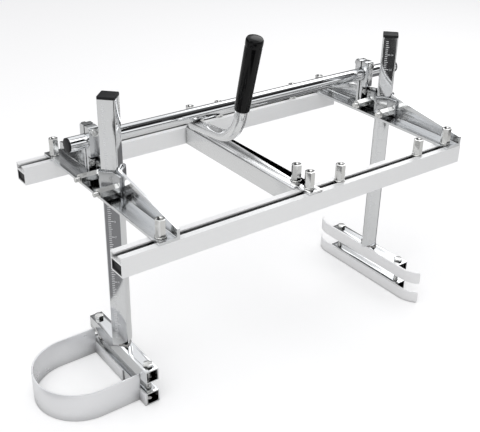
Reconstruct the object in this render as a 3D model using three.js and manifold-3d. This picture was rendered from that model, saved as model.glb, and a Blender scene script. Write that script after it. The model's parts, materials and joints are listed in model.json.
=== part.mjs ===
// Chainsaw mill: a slotted rail frame that rides on a plank and carries a chainsaw's guide bar
// at a set depth below it. Millimetres, +Z up, X along the rails, Y from the front rail to the
// rear one. The frame is laid out from the front rail's lower left corner, then the whole mill is
// set down with the middle of its footprint at the origin and its lower jaws on Z = 0.
import * as THREE from 'three';
import { mergeVertices } from 'three/addons/utils/BufferGeometryUtils.js';
import Module from 'manifold-3d';

const wasm = await Module();
wasm.setup();

// Rails: a square extrusion with a box chamber below and a T-shaped slot on top
const rail = {
  length: 613, side: 28, wall: 2, chamberTop: 17, slotFloor: 19, slotWidth: 9,
  pitch: 305, rearShift: 8,
};
const plug = { depth: 8 };

// End brackets: an angle lying across both rails, its upright side highest beside the post
const bracket = {
  left: 53, rightInset: 32, thickness: 4, width: 30.5, endRise: 12, peakRise: 36, nutInset: 10.5,
};

// Posts: square tubes turned an eighth of a turn, an edge toward each end of the frame
const post = { side: 25, wall: 2, length: 398.5, top: 164.5, fromBracket: 30, middle: 171.5 };
const cap = { thickness: 4, plugDepth: 12 };

// Post clamp: a V plate on each side of the upright, pulled together by two long bolts
const saddle = { thickness: 4, aboveBracket: 1, height: 29, beyondBolt: 7 };
const clampBolt = {
  besidePost: 9.8, aboveBracket: 11, tail: 7, nutLength: 30, washerRadius: 8, washerThickness: 2,
};

// Metric fasteners: the large size holds rails, posts and jaws, the small one the push tube
const large = { radius: 4, across: 13, headHeight: 5.5 };
const small = { radius: 3, across: 10, headHeight: 4.5 };

// Rail fasteners: a square-headed bolt in the slot and a long nut with a round foot
const slotBolt = { headSide: 13, headHeight: 5, reachIntoNut: 15 };
const longNut = { length: 26, footRadius: 8, footHeight: 1.8 };
const spareFasteners = { fromBrace: 75.5, fromRightBracket: 53 };

// Brace: the brackets' angle turned over, with a tongue over each rail and a line of bolts
const brace = { left: 290.5, tongue: 23, boltInset: 13, besideRail: 15 };

// Push tube behind the posts, its split clamps, the bent arm and the grip
const tube = {
  radius: 10.5, wall: 1.8, leftOverhang: 11.5, rightOverhang: 92, behindEar: 12, aboveBracket: 56.5,
};
const tubeCap = { thickness: 3, plugDepth: 10 };
const tubeClamp = {
  fromBracket: 14.5, width: 15.5, legWidth: 11.7, wall: 3.5, belowTube: 10, aboveTube: 12.5,
  slot: 2.5, legThickness: 5, footReach: 26, footThickness: 3, corner: 3, upperBolt: 5.5,
  lowerBolt: 20,
};
const arm = {
  at: 254, radius: 9, wall: 2, sink: 1, tail: 8, cornerReach: 102.7, bendRadius: 56, rise: 6.4,
  lean: 13.6,
};
const grip = { start: 52, length: 112, lowWall: 1.7, highWall: 3, boreDepth: 90, crown: 5 };

// Bar clamps: two square tubes one above the other, with the guide bar's gap between them
const jaw = { side: 22, wall: 2, length: 177, gap: 18, boltInset: 12.5, nutHeight: 5 };
const jawBolt = { belowGap: 8 };

// Nose guard: a flat strip bent into a half round on the outer side of the left lower jaw
const guard = { thickness: 2.5, height: 48, radius: 72, shift: 1.5, reach: 62, farTab: 92 };

// Rub strips on the inner side of the right jaws, both ends swept back like a ski
const strip = { thickness: 3, overhang: 10.5, sweepRadius: 42, sweepAngle: 50 };

// Clearances: beside a fixed neighbour, in a bolt hole, between a post and its clamp
const gap = { fit: 0.3, running: 0.5, notch: 0.8 };

// Numbers of flat sides and steps that stand in for round shapes
const sides = { bolt: 14, washer: 20, tube: 32, arm: 14, armSteps: 34, sweep: 6, guard: 28 };
const crownShare = 0.25;

const look = {
  railMetal: [0xc3c6c8, 0.42, 0.9], polished: [0xcfd2d4, 0.16, 1], chrome: [0xd8dadc, 0.08, 1],
  zinc: [0xc9cbc9, 0.28, 1], sheet: [0xb4b9c0, 0.36, 0.9], plastic: [0x1b1b1c, 0.5, 0],
  gripRubber: [0x0c0c0d, 0.18, 0],
};
const materials = {};
for (const [name, [color, roughness, metalness]] of Object.entries(look)) {
  materials[name] = new THREE.MeshStandardMaterial({ name, color, roughness, metalness });
}

// Levels and lines that several pieces share
const quarter = Math.PI / 2;
const fullTurn = Math.PI * 2;
const railTop = rail.side;
const lipBottom = rail.side - rail.wall;
const slotMiddle = rail.side / 2;
const rearEdge = rail.pitch + rail.side;
const bracketTop = railTop + bracket.thickness;
const flangeInner = bracket.width - bracket.thickness;
const bracketPlaces = { left: bracket.left, right: rail.length - bracket.rightInset };
const halfDiagonal = post.side / Math.SQRT2;
const notch = halfDiagonal + gap.notch;
const boltSpread = halfDiagonal + clampBolt.besidePost;
const boltHeight = bracketTop + clampBolt.aboveBracket;
const earReach = boltSpread + saddle.beyondBolt;
const tubeMiddle = post.middle + earReach + tube.behindEar;
const tubeHeight = bracketTop + tube.aboveBracket;
const tubeLeft = bracketPlaces.left - tube.leftOverhang;
const tubeRight = bracketPlaces.right + tube.rightOverhang;
const jawTop = post.top - post.length;
const upperJawBottom = jawTop - jaw.side;
const lowerJawTop = upperJawBottom - jaw.gap;
const lowerJawBottom = lowerJawTop - jaw.side;
const jawFace = -jaw.side / 2;
const jawBolts = jaw.length / 2 - jaw.boltInset;
const tubeClampDepth = (tube.radius + tubeClamp.wall) * 2;

// Only positions and normals are kept, so that any two geometries can share one body
function plain(geometry) {
  const flat = geometry.index ? geometry.toNonIndexed() : geometry;
  flat.deleteAttribute('uv');
  return flat;
}

function box(x0, x1, y0, y1, z0, z1) {
  const geometry = new THREE.BoxGeometry(x1 - x0, y1 - y0, z1 - z0);
  return plain(geometry.translate((x0 + x1) / 2, (y0 + y1) / 2, (z0 + z1) / 2));
}

function outline(points, holes = []) {
  const shape = new THREE.Shape(points.map(([x, y]) => new THREE.Vector2(x, y)));
  shape.holes = holes.map((hole) => outline(hole));
  return shape;
}

// A polygon in X and Y, drawn upward from one level to another
function upright(points, from, to, holes) {
  const settings = { depth: to - from, bevelEnabled: false };
  return plain(new THREE.ExtrudeGeometry(outline(points, holes), settings).translate(0, 0, from));
}

// A polygon in Y and Z, drawn along X from one place to another
function lengthwise(points, from, to, holes) {
  const axes = new THREE.Matrix4().makeBasis(
    new THREE.Vector3(0, 1, 0), new THREE.Vector3(0, 0, 1), new THREE.Vector3(1, 0, 0),
  );
  return upright(points, from, to, holes).applyMatrix4(axes);
}

// A body drawn upward, laid down so that it runs toward +Y
function laidAlongY(geometry) {
  return geometry.rotateX(-quarter);
}

function square(half) {
  return [[-half, -half], [half, -half], [half, half], [-half, half]];
}

function ring(radius, count) {
  const points = [];
  for (let i = 0; i < count; i += 1) {
    const angle = (i / count) * fullTurn;
    points.push([radius * Math.cos(angle), radius * Math.sin(angle)]);
  }
  return points;
}

function hexagon(acrossFlats) {
  return ring(acrossFlats / Math.sqrt(3), 6);
}

// Joins and cuts
function toSolid(geometry) {
  const bare = geometry.clone();
  bare.deleteAttribute('normal');
  const merged = mergeVertices(bare);
  return new wasm.Manifold(new wasm.Mesh({
    numProp: 3,
    vertProperties: new Float32Array(merged.attributes.position.array),
    triVerts: new Uint32Array(merged.index.array),
  }));
}

function toGeometry(solid) {
  const mesh = solid.getMesh();
  const geometry = new THREE.BufferGeometry();
  geometry.setAttribute('position', new THREE.BufferAttribute(mesh.vertProperties, 3));
  geometry.setIndex(new THREE.BufferAttribute(mesh.triVerts, 1));
  const flat = geometry.toNonIndexed();
  flat.computeVertexNormals();
  return flat;
}

function join(first, ...others) {
  return toGeometry(others.reduce((whole, next) => whole.add(toSolid(next)), toSolid(first)));
}

function cut(first, ...others) {
  return toGeometry(others.reduce((rest, next) => rest.subtract(toSolid(next)), toSolid(first)));
}

function piece(name, geometry, finish, place = [0, 0, 0]) {
  const mesh = new THREE.Mesh(geometry, materials[finish]);
  mesh.name = name;
  mesh.position.set(...place);
  return mesh;
}

// One like piece for each name, at that name's place
function likePieces(geometry, finish, places) {
  return Object.entries(places).map(([name, place]) => piece(name, geometry, finish, place));
}

// The slotted section, across and up, and its box chamber
function railSection() {
  const { side, wall, slotFloor, slotWidth } = rail;
  const near = (side - slotWidth) / 2;
  const far = side - near;
  return [
    [0, 0], [side, 0], [side, side], [far, side], [far, lipBottom], [side - wall, lipBottom],
    [side - wall, slotFloor], [wall, slotFloor], [wall, lipBottom], [near, lipBottom],
    [near, side], [0, side],
  ];
}

function chamber(clearance = 0) {
  const low = rail.wall + clearance;
  const high = rail.side - rail.wall - clearance;
  const top = rail.chamberTop - clearance;
  return [[low, low], [high, low], [high, top], [low, top]];
}

function slottedBar(length) {
  return lengthwise(railSection(), 0, length, [chamber()]);
}

// A slot bolt with its long nut run down on it, centred on its own axis; the nut's foot stands
// at the given seat, the bolt's head under the given plate, and the thread stays open above it
function railFastener(seat, plateBottom = lipBottom) {
  const { headSide, headHeight, reachIntoNut } = slotBolt;
  const headTop = plateBottom - gap.fit;
  const boltEnd = seat + reachIntoNut;
  const thread = ring(large.radius, sides.bolt);
  const head = upright(square(headSide / 2), headTop - headHeight, headTop);
  const shank = upright(thread, headTop - gap.fit, boltEnd + gap.fit);
  const foot = upright(ring(longNut.footRadius, sides.washer), seat, seat + longNut.footHeight);
  const lower = upright(hexagon(large.across), seat, boltEnd);
  const upper = upright(hexagon(large.across), boltEnd, seat + longNut.length, [thread]);
  return join(head, shank, foot, lower, upper);
}

// A vertical hole for a fastener at one place of a plate
function fastenerHole(x, y, bottom, top) {
  const round = ring(large.radius + gap.running, sides.bolt);
  return upright(round, bottom - gap.running, top + gap.running).translate(x, y, 0);
}

// Rail frame
function railFrame() {
  const group = new THREE.Group();
  const bar = slottedBar(rail.length);
  const plugBody = lengthwise(chamber(gap.fit), 0, plug.depth);
  const { pitch, rearShift, length } = rail;
  const left = brace.left + spareFasteners.fromBrace;
  const right = bracketPlaces.right - spareFasteners.fromRightBracket;
  const farPlug = length - plug.depth;
  group.add(
    ...likePieces(bar, 'railMetal', { front_rail: [0, 0, 0], rear_rail: [rearShift, pitch, 0] }),
    ...likePieces(plugBody, 'plastic', {
      front_rail_left_plug: [0, 0, 0],
      front_rail_right_plug: [farPlug, 0, 0],
      rear_rail_left_plug: [rearShift, pitch, 0],
      rear_rail_right_plug: [rearShift + farPlug, pitch, 0],
    }),
    ...likePieces(railFastener(railTop), 'chrome', {
      spare_fastener_front_left: [left, slotMiddle, 0],
      spare_fastener_front_right: [right, slotMiddle, 0],
      spare_fastener_rear_left: [left, pitch + slotMiddle, 0],
      spare_fastener_rear_right: [right, pitch + slotMiddle, 0],
    }),
  );
  return group;
}

// Brace: its leg hangs between the rails, and a tongue over each rail takes that rail's fastener
function braceAssembly() {
  const group = new THREE.Group();
  const { left, tongue, boltInset, besideRail } = brace;
  const { width, thickness } = bracket;
  const boltLine = width - boltInset;
  const near = rail.side + gap.fit;
  const far = rail.pitch - gap.fit;
  const rows = {
    front_rail: [slotMiddle, lipBottom],
    front_end: [rail.side + besideRail, railTop],
    rear_end: [rail.pitch - besideRail, railTop],
    rear_rail: [rail.pitch + slotMiddle, lipBottom],
  };
  const angle = join(
    box(0, width, near, far, railTop, bracketTop),
    box(0, thickness, near, far, 0, bracketTop),
    box(width - tongue, width, 0, rearEdge, railTop, bracketTop),
  );
  const holes = Object.values(rows).map(([y]) => fastenerHole(boltLine, y, railTop, bracketTop));
  group.position.x = left;
  group.add(piece('brace', cut(angle, ...holes), 'polished'));
  for (const [end, [y, plateBottom]] of Object.entries(rows)) {
    const body = railFastener(bracketTop, plateBottom);
    group.add(piece(`brace_${end}_fastener`, body, 'chrome', [boltLine, y, 0]));
  }
  return group;
}

// Round holes along X for the two clamp bolts
function clampHoles(from, to) {
  return [-boltSpread, boltSpread].map((shift) => (
    lengthwise(ring(large.radius + gap.running, sides.bolt), from, to)
      .translate(0, post.middle + shift, boltHeight)
  ));
}

// End bracket in a frame that starts at its own left edge, cut open where the post passes
function bracketBody() {
  const { width, thickness, endRise, peakRise, nutInset } = bracket;
  const { middle, fromBracket } = post;
  const peak = bracketTop + peakRise;
  const end = bracketTop + endRise;
  const floor = box(0, width, 0, rearEdge, railTop, bracketTop);
  const upstand = lengthwise([
    [0, railTop], [rearEdge, railTop], [rearEdge, end], [middle + notch, peak],
    [middle - notch, peak], [0, end],
  ], flangeInner, width);
  const passage = upright([
    [fromBracket - notch, middle], [fromBracket, middle - notch],
    [fromBracket + notch, middle], [fromBracket, middle + notch],
  ], railTop - thickness, bracketTop + thickness);
  const opening = box(
    flangeInner - gap.running, width + thickness, middle - notch, middle + notch,
    bracketTop, peak + thickness,
  );
  const railHoles = [slotMiddle, rail.pitch + slotMiddle].map((y) => (
    fastenerHole(nutInset, y, railTop, bracketTop)
  ));
  return cut(join(floor, upstand), passage, opening, ...railHoles, ...clampHoles(0, width + thickness));
}

// V plate: its legs lie on two faces of the post and its ears on one side of the upright
function veePlate(face, outward) {
  const { thickness, aboveBracket, height } = saddle;
  const { middle, fromBracket } = post;
  const bottom = bracketTop + aboveBracket;
  const tip = fromBracket + outward * (halfDiagonal + gap.fit * Math.SQRT2);
  const outerTip = tip + outward * thickness * Math.SQRT2;
  const back = face + outward * thickness;
  const inner = Math.abs(tip - face);
  const outer = Math.abs(outerTip - back);
  const points = [
    [tip, middle], [face, middle - inner], [face, middle - earReach], [back, middle - earReach],
    [back, middle - outer], [outerTip, middle], [back, middle + outer],
    [back, middle + earReach], [face, middle + earReach], [face, middle + inner],
  ];
  const plate = upright(points, bottom, bottom + height);
  const near = Math.min(face, back) - gap.running;
  const far = Math.max(face, back) + gap.running;
  return cut(plate, ...clampHoles(near, far));
}

// A long bolt with a round washer and a hexagon head outside and a long nut run up inside
function postClampBolt() {
  const { tail, nutLength, washerRadius, washerThickness } = clampBolt;
  const nutEnd = flangeInner - saddle.thickness;
  const seat = bracket.width + saddle.thickness;
  const headStart = seat + washerThickness;
  const start = nutEnd - nutLength;
  return join(
    lengthwise(ring(large.radius, sides.bolt), start - tail, headStart + gap.fit),
    lengthwise(hexagon(large.across), start, nutEnd),
    lengthwise(ring(washerRadius, sides.washer), seat, headStart),
    lengthwise(hexagon(large.across), headStart, headStart + large.headHeight),
  );
}

// Split clamp for the push tube: a thick half with its leg and, behind, a foot on the bracket
function tubeClampHalf(side) {
  const { width, legWidth, slot, legThickness, corner } = tubeClamp;
  const bottom = tubeHeight - tube.radius - tubeClamp.belowTube;
  const top = tubeHeight + tube.radius + tubeClamp.aboveTube;
  const near = side * slot / 2;
  const far = side * tubeClampDepth / 2;
  const leg = near + side * legThickness;
  const block = lengthwise([
    [near, bottom], [far, bottom], [far, top - corner], [far - side * corner, top], [near, top],
  ], 0, width);
  const shin = box(0, legWidth, Math.min(near, leg), Math.max(near, leg), bracketTop, bottom + corner);
  const foot = box(
    0, legWidth, slot / 2, tubeClamp.footReach, bracketTop, bracketTop + tubeClamp.footThickness,
  );
  const bore = lengthwise(ring(tube.radius + gap.fit, sides.tube), -gap.running, width + gap.running)
    .translate(0, 0, tubeHeight);
  const holes = boltHeights().map(([, height, at]) => (
    laidAlongY(upright(ring(small.radius + gap.running, sides.bolt), -tubeClampDepth, tubeClampDepth))
      .translate(at, 0, height)
  ));
  const whole = side > 0 ? join(block, shin, foot) : join(block, shin);
  return cut(whole, bore, ...holes);
}

// Name, height and place along X of the two bolts in a tube clamp
function boltHeights() {
  const { width, legWidth, upperBolt, lowerBolt } = tubeClamp;
  return [
    ['upper', tubeHeight + tube.radius + upperBolt, width / 2],
    ['lower', tubeHeight - tube.radius - lowerBolt, legWidth / 2],
  ];
}

// A small bolt through both halves, its nut in front and its head behind
function tubeClampBolt(reach) {
  const { radius, across, headHeight } = small;
  const tip = reach + headHeight + gap.running;
  return laidAlongY(join(
    upright(ring(radius, sides.bolt), -tip, reach + gap.fit),
    upright(hexagon(across), -reach - headHeight, -reach),
    upright(hexagon(across), reach, reach + headHeight),
  ));
}

function bracketAssembly(side, left) {
  const group = new THREE.Group();
  const { fromBracket, slot, legThickness } = tubeClamp;
  const fastener = railFastener(bracketTop);
  const rows = { front: slotMiddle, rear: rail.pitch + slotMiddle };
  const shifts = { front: -boltSpread, rear: boltSpread };
  const clampPlace = [fromBracket, tubeMiddle, 0];
  const reach = { upper: tubeClampDepth / 2, lower: slot / 2 + legThickness };
  group.position.x = left;
  group.add(
    piece(`${side}_bracket`, bracketBody(), 'polished'),
    piece(`${side}_inner_saddle`, veePlate(flangeInner, -1), 'polished'),
    piece(`${side}_outer_saddle`, veePlate(bracket.width, 1), 'polished'),
    piece(`${side}_tube_clamp_front`, tubeClampHalf(-1), 'polished', clampPlace),
    piece(`${side}_tube_clamp_rear`, tubeClampHalf(1), 'polished', clampPlace),
  );
  for (const [end, y] of Object.entries(rows)) {
    const boltPlace = [0, post.middle + shifts[end], boltHeight];
    group.add(
      piece(`${side}_bracket_${end}_fastener`, fastener, 'chrome', [bracket.nutInset, y, 0]),
      piece(`${side}_post_clamp_${end}_bolt`, postClampBolt(), 'chrome', boltPlace),
    );
  }
  for (const [end, height, at] of boltHeights()) {
    const place = [fromBracket + at, tubeMiddle, height];
    group.add(piece(`${side}_tube_clamp_${end}_bolt`, tubeClampBolt(reach[end]), 'zinc', place));
  }
  return group;
}

// Post with its end cap, in a frame that stands on the post's own axis
function postTube() {
  const half = post.side / 2;
  return upright(square(half), jawTop, post.top, [square(half - post.wall)]);
}

function postCap() {
  const half = post.side / 2;
  const { thickness, plugDepth } = cap;
  const lid = upright(square(half), post.top, post.top + thickness);
  const stem = square(half - post.wall - gap.fit);
  return join(lid, upright(stem, post.top - plugDepth, post.top + gap.fit));
}

// Square jaw tube along Y, centred on the post's axis and drilled right through for two bolts
function jawTube(bottom, nuts = []) {
  const half = jaw.side / 2;
  const reach = jaw.length / 2;
  const walls = laidAlongY(upright(square(half), -reach, reach, [square(half - jaw.wall)]));
  const body = walls.translate(0, 0, bottom + half);
  const holes = [-jawBolts, jawBolts].map((y) => (
    fastenerHole(0, y, bottom, bottom + jaw.side)
  ));
  return cut(join(body, ...nuts), ...holes);
}

// The lower jaw has a nut welded inside its top wall under each bolt
function lowerJaw() {
  const top = lowerJawTop - jaw.wall;
  const nuts = [-jawBolts, jawBolts].map((y) => (
    upright(hexagon(large.across), top - jaw.nutHeight, top + gap.fit).translate(0, y, 0)
  ));
  return jawTube(lowerJawBottom, nuts);
}

function jawBoltBody() {
  const shank = upright(ring(large.radius, sides.bolt), lowerJawTop - jawBolt.belowGap, jawTop + gap.fit);
  return join(shank, upright(hexagon(large.across), jawTop, jawTop + large.headHeight));
}

// Rub strip: flat along the jaw, both ends swept back toward +X
function rubStrip(bottom) {
  const { thickness, overhang, sweepRadius, sweepAngle } = strip;
  const flatHalf = jaw.length / 2 + overhang;
  const near = [];
  const far = [];
  for (let i = 0; i <= sides.sweep; i += 1) {
    const angle = THREE.MathUtils.degToRad(sweepAngle * i / sides.sweep);
    const inner = sweepRadius - thickness;
    far.push([
      jawFace - thickness + sweepRadius * (1 - Math.cos(angle)),
      flatHalf + sweepRadius * Math.sin(angle),
    ]);
    near.push([jawFace + inner * (1 - Math.cos(angle)), flatHalf + inner * Math.sin(angle)]);
  }
  const half = [...far, ...near.reverse()];
  const mirrored = half.map(([x, y]) => [x, -y]).reverse();
  return upright([...half, ...mirrored], bottom, bottom + jaw.side);
}

// Nose guard: a half round hoop, then one tab turned in and one turned out along the jaw
function noseGuard() {
  const { thickness, height, radius, shift, reach, farTab } = guard;
  const start = jawFace - gap.running;
  const centre = start - reach;
  const arc = (size) => {
    const points = [[start, -size]];
    for (let i = 0; i <= sides.guard; i += 1) {
      const angle = -quarter - Math.PI * i / sides.guard;
      points.push([centre + size * Math.cos(angle), size * Math.sin(angle)]);
    }
    return [...points, [start, size]];
  };
  const band = [...arc(radius - thickness), ...arc(radius).reverse()];
  const tabs = [
    [shift + radius - farTab, shift + radius],
    [-jaw.length / 2, shift - radius + thickness],
  ];
  return join(
    upright(band, lowerJawBottom, lowerJawBottom + height).translate(0, shift, 0),
    ...tabs.map(([from, to]) => (
      box(jawFace - thickness, jawFace, from, to, lowerJawBottom, lowerJawTop)
    )),
  );
}

function postAssembly(side, left) {
  const group = new THREE.Group();
  const column = piece(`${side}_post`, postTube(), 'chrome');
  const lid = piece(`${side}_post_cap`, postCap(), 'plastic');
  column.rotation.z = quarter / 2;
  lid.rotation.z = quarter / 2;
  group.position.set(left + post.fromBracket, post.middle, 0);
  group.add(
    column,
    lid,
    piece(`${side}_upper_jaw`, jawTube(upperJawBottom), 'chrome'),
    piece(`${side}_lower_jaw`, lowerJaw(), 'chrome'),
    ...likePieces(jawBoltBody(), 'chrome', {
      [`${side}_jaw_front_bolt`]: [0, -jawBolts, 0],
      [`${side}_jaw_rear_bolt`]: [0, jawBolts, 0],
    }),
  );
  return group;
}

// Push tube cap with its stem toward +X or -X
function tubeCapBody(inward) {
  const { thickness, plugDepth } = tubeCap;
  const stemRadius = tube.radius - tube.wall - gap.fit;
  const disc = lengthwise(ring(tube.radius, sides.tube), 0, thickness);
  const from = inward > 0 ? thickness - gap.fit : -plugDepth;
  const to = inward > 0 ? thickness + plugDepth : gap.fit;
  return join(disc, lengthwise(ring(stemRadius, sides.tube), from, to));
}

// A bend in Y and Z: angles count from the bottom of its circle, which runs toward -Y
class Bend extends THREE.Curve {
  constructor(centre, radius, from, to) {
    super();
    this.centre = centre;
    this.radius = radius;
    this.from = from;
    this.to = to;
  }

  getPoint(share, target = new THREE.Vector3()) {
    const turned = this.from + share * (this.to - this.from);
    return target.set(0, -Math.sin(turned), -Math.cos(turned))
      .multiplyScalar(this.radius).add(this.centre);
  }
}

// The arm's middle line: forward and slightly up from under the push tube, then up and forward
const armTilt = THREE.MathUtils.degToRad(arm.lean);
const armRise = THREE.MathUtils.degToRad(arm.rise);
const armUp = new THREE.Vector3(0, -Math.sin(armTilt), Math.cos(armTilt));
const armAlong = new THREE.Vector3(0, -Math.cos(armRise), Math.sin(armRise));
const armAcross = new THREE.Vector3(0, Math.sin(armRise), Math.cos(armRise));
const armRoot = new THREE.Vector3(
  arm.at, tubeMiddle, tubeHeight - tube.radius - arm.radius + arm.sink,
);
const armCorner = armRoot.clone().addScaledVector(armAlong, arm.cornerReach);

function armBody() {
  const { radius, wall, tail, bendRadius } = arm;
  const tangent = bendRadius * Math.tan((quarter - armTilt - armRise) / 2);
  const start = armRoot.clone().addScaledVector(armAlong, -tail);
  const bendStart = armCorner.clone().addScaledVector(armAlong, -tangent);
  const centre = bendStart.clone().addScaledVector(armAcross, bendRadius);
  const bendEnd = armCorner.clone().addScaledVector(armUp, tangent);
  const end = armCorner.clone().addScaledVector(armUp, grip.start + grip.boreDepth - gap.running);
  const path = new THREE.CurvePath();
  path.add(new THREE.LineCurve3(start, bendStart));
  path.add(new Bend(centre, bendRadius, armRise, quarter - armTilt));
  path.add(new THREE.LineCurve3(bendEnd, end));
  const section = outline(ring(radius, sides.arm), [ring(radius - wall, sides.arm)]);
  const settings = { extrudePath: path, steps: sides.armSteps, bevelEnabled: false };
  const rod = plain(new THREE.ExtrudeGeometry(section, settings));
  const around = lengthwise(ring(tube.radius + gap.fit, sides.tube), tubeLeft, tubeRight)
    .translate(0, tubeMiddle, tubeHeight);
  return cut(rod, around);
}

function gripBody() {
  const { length, lowWall, highWall, boreDepth, crown } = grip;
  const bore = arm.radius + gap.fit;
  const highRadius = bore + highWall;
  const profile = [
    [0, boreDepth], [bore, boreDepth], [bore, 0], [bore + lowWall, 0],
    [highRadius, length - crown],
    [highRadius - crown * crownShare, length - crown * crownShare],
    [highRadius - crown, length], [0, length],
  ];
  return plain(new THREE.LatheGeometry(profile.map(([x, y]) => new THREE.Vector2(x, y)), sides.tube));
}

function handleAssembly() {
  const group = new THREE.Group();
  const { radius, wall } = tube;
  const bore = ring(radius - wall, sides.tube);
  const walls = lengthwise(ring(radius, sides.tube), tubeLeft, tubeRight, [bore]);
  const leftCapPlace = [tubeLeft - tubeCap.thickness, tubeMiddle, tubeHeight];
  const gripPlace = armCorner.clone().addScaledVector(armUp, grip.start).toArray();
  const handle = piece('grip', gripBody(), 'gripRubber', gripPlace);
  handle.rotation.x = quarter + armTilt;
  group.add(
    piece('push_tube', walls, 'chrome', [0, tubeMiddle, tubeHeight]),
    piece('push_tube_left_cap', tubeCapBody(1), 'plastic', leftCapPlace),
    piece('push_tube_right_cap', tubeCapBody(-1), 'plastic', [tubeRight, tubeMiddle, tubeHeight]),
    piece('handle_arm', armBody(), 'chrome'),
    handle,
  );
  return group;
}

const mill = new THREE.Group();
mill.add(railFrame(), braceAssembly(), handleAssembly());
for (const [side, place] of Object.entries(bracketPlaces)) {
  const clamp = postAssembly(side, place);
  if (side === 'left') {
    clamp.add(piece('nose_guard', noseGuard(), 'sheet'));
  } else {
    clamp.add(
      piece('right_upper_rub_strip', rubStrip(upperJawBottom), 'sheet'),
      piece('right_lower_rub_strip', rubStrip(lowerJawBottom), 'sheet'),
    );
  }
  mill.add(bracketAssembly(side, place), clamp);
}

// The middle of the footprint goes to the origin and the lowest faces to Z = 0
mill.updateMatrixWorld(true);
const bounds = new THREE.Box3().setFromObject(mill);
const footprint = bounds.getCenter(new THREE.Vector3());
mill.position.set(-footprint.x, -footprint.y, -bounds.min.z);

export default mill;
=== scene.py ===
"""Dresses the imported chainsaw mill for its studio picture.

Every piece is modelled in millimetres where the CAD holds it, then settled in metres and given a
finish: slotted aluminium bars, polished plates, chromed tubes, threaded fasteners, a galvanised
hoop, black plastic caps and a glossy grip.
"""

import json
import logging
import math
from collections.abc import Callable, Iterator, Sequence
from contextlib import contextmanager
from dataclasses import dataclass, field
from enum import Enum

import bmesh
import bpy
from mathutils import Matrix, Vector

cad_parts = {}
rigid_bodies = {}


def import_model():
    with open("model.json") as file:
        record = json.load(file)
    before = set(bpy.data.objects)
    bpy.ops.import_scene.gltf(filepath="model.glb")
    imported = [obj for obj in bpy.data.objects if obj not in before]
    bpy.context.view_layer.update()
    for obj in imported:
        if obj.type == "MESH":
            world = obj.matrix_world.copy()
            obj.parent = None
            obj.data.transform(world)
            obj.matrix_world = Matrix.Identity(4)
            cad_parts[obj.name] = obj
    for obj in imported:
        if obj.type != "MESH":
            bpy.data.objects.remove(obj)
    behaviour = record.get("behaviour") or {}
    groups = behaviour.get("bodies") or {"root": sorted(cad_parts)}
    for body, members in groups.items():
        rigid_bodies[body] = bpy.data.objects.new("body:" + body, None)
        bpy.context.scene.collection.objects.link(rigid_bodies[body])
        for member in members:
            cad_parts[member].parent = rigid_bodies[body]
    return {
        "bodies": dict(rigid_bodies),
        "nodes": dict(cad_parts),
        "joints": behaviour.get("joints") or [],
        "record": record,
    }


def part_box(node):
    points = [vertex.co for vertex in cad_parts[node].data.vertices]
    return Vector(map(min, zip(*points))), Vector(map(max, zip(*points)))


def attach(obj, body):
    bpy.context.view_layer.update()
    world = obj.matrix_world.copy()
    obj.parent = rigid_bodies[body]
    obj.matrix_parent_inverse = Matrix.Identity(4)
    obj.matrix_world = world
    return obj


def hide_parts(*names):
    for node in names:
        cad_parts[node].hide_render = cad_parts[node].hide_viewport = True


LOG = logging.getLogger("mill")

# One millimetre in metres, and three lengths in millimetres: how near two points are merged, how
# near two places count as one, and how far a cutting tool runs past what it cuts.
MM = 0.001
MERGE = 0.0005
CLOSE = 0.01
OVERRUN = 1.0

# Numbers of flat sides of rounds, from hidden holes to the push tube.
COARSE, ROUND, FINE, FINEST = 32, 48, 64, 80

# Angles in degrees between two faces: the least that is rounded, and the most that looks smooth.
SHARP = 32.0
SMOOTH = 31.0

# The two ends of a fastener row, and the range in which most of a noise's values lie.
ROWS = ("front", "rear")
USUAL = (0.3, 0.7)

Object = bpy.types.Object
Socket = bpy.types.NodeSocket
Point = Sequence[float]
Color = tuple[float, float, float]
Test = Callable[[Vector, Vector], bool]


class Side(Enum):
    """The two ends of the mill."""

    LEFT = "left"
    RIGHT = "right"


# Modelling operators


def activate(obj: Object) -> None:
    """Selects one object alone and makes it the active one."""
    bpy.ops.object.select_all(action="DESELECT")
    obj.select_set(True)
    bpy.context.view_layer.objects.active = obj


def freeze(obj: Object) -> Object:
    """Moves an object's place into its mesh and returns the object."""
    activate(obj)
    bpy.ops.object.transform_apply(location=True, rotation=True, scale=True)
    return obj


def added(operator: Callable[..., set], **settings: object) -> Object:
    """Adds an object while nothing else is selected.

    Args:
        operator: Blender's operator that adds it.
        **settings: The operator's own settings.

    Returns:
        The new object.
    """
    bpy.ops.object.select_all(action="DESELECT")
    operator(**settings)
    return bpy.context.object


def block(low: Point, high: Point, turn: float = 0.0) -> Object:
    """Adds a box between two corners.

    Args:
        low: Lowest corner in millimetres.
        high: Highest corner in millimetres.
        turn: Turn about the box's own upright axis, in degrees.

    Returns:
        The new box.
    """
    first, last = Vector(low), Vector(high)
    obj = added(
        bpy.ops.mesh.primitive_cube_add, size=1, location=(first + last) / 2,
        rotation=(0, 0, math.radians(turn)),
    )
    obj.scale = last - first
    return freeze(obj)


def rod(radius: float, start: Point, end: Point, sides: int = ROUND, turn: float = 0.0) -> Object:
    """Adds a round or many-sided bar between two points.

    Args:
        radius: Radius over the corners in millimetres.
        start: Middle of one end.
        end: Middle of the other end.
        sides: Number of flat sides.
        turn: Turn about the bar's own axis, in degrees.

    Returns:
        The new bar.
    """
    first, last = Vector(start), Vector(end)
    way = last - first
    obj = added(
        bpy.ops.mesh.primitive_cylinder_add, vertices=sides, radius=radius, depth=way.length
    )
    spin = Matrix.Rotation(math.radians(turn), 4, "Z")
    aim = way.to_track_quat("Z", "Y").to_matrix().to_4x4()
    obj.matrix_world = Matrix.Translation((first + last) / 2) @ aim @ spin
    return freeze(obj)


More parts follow.
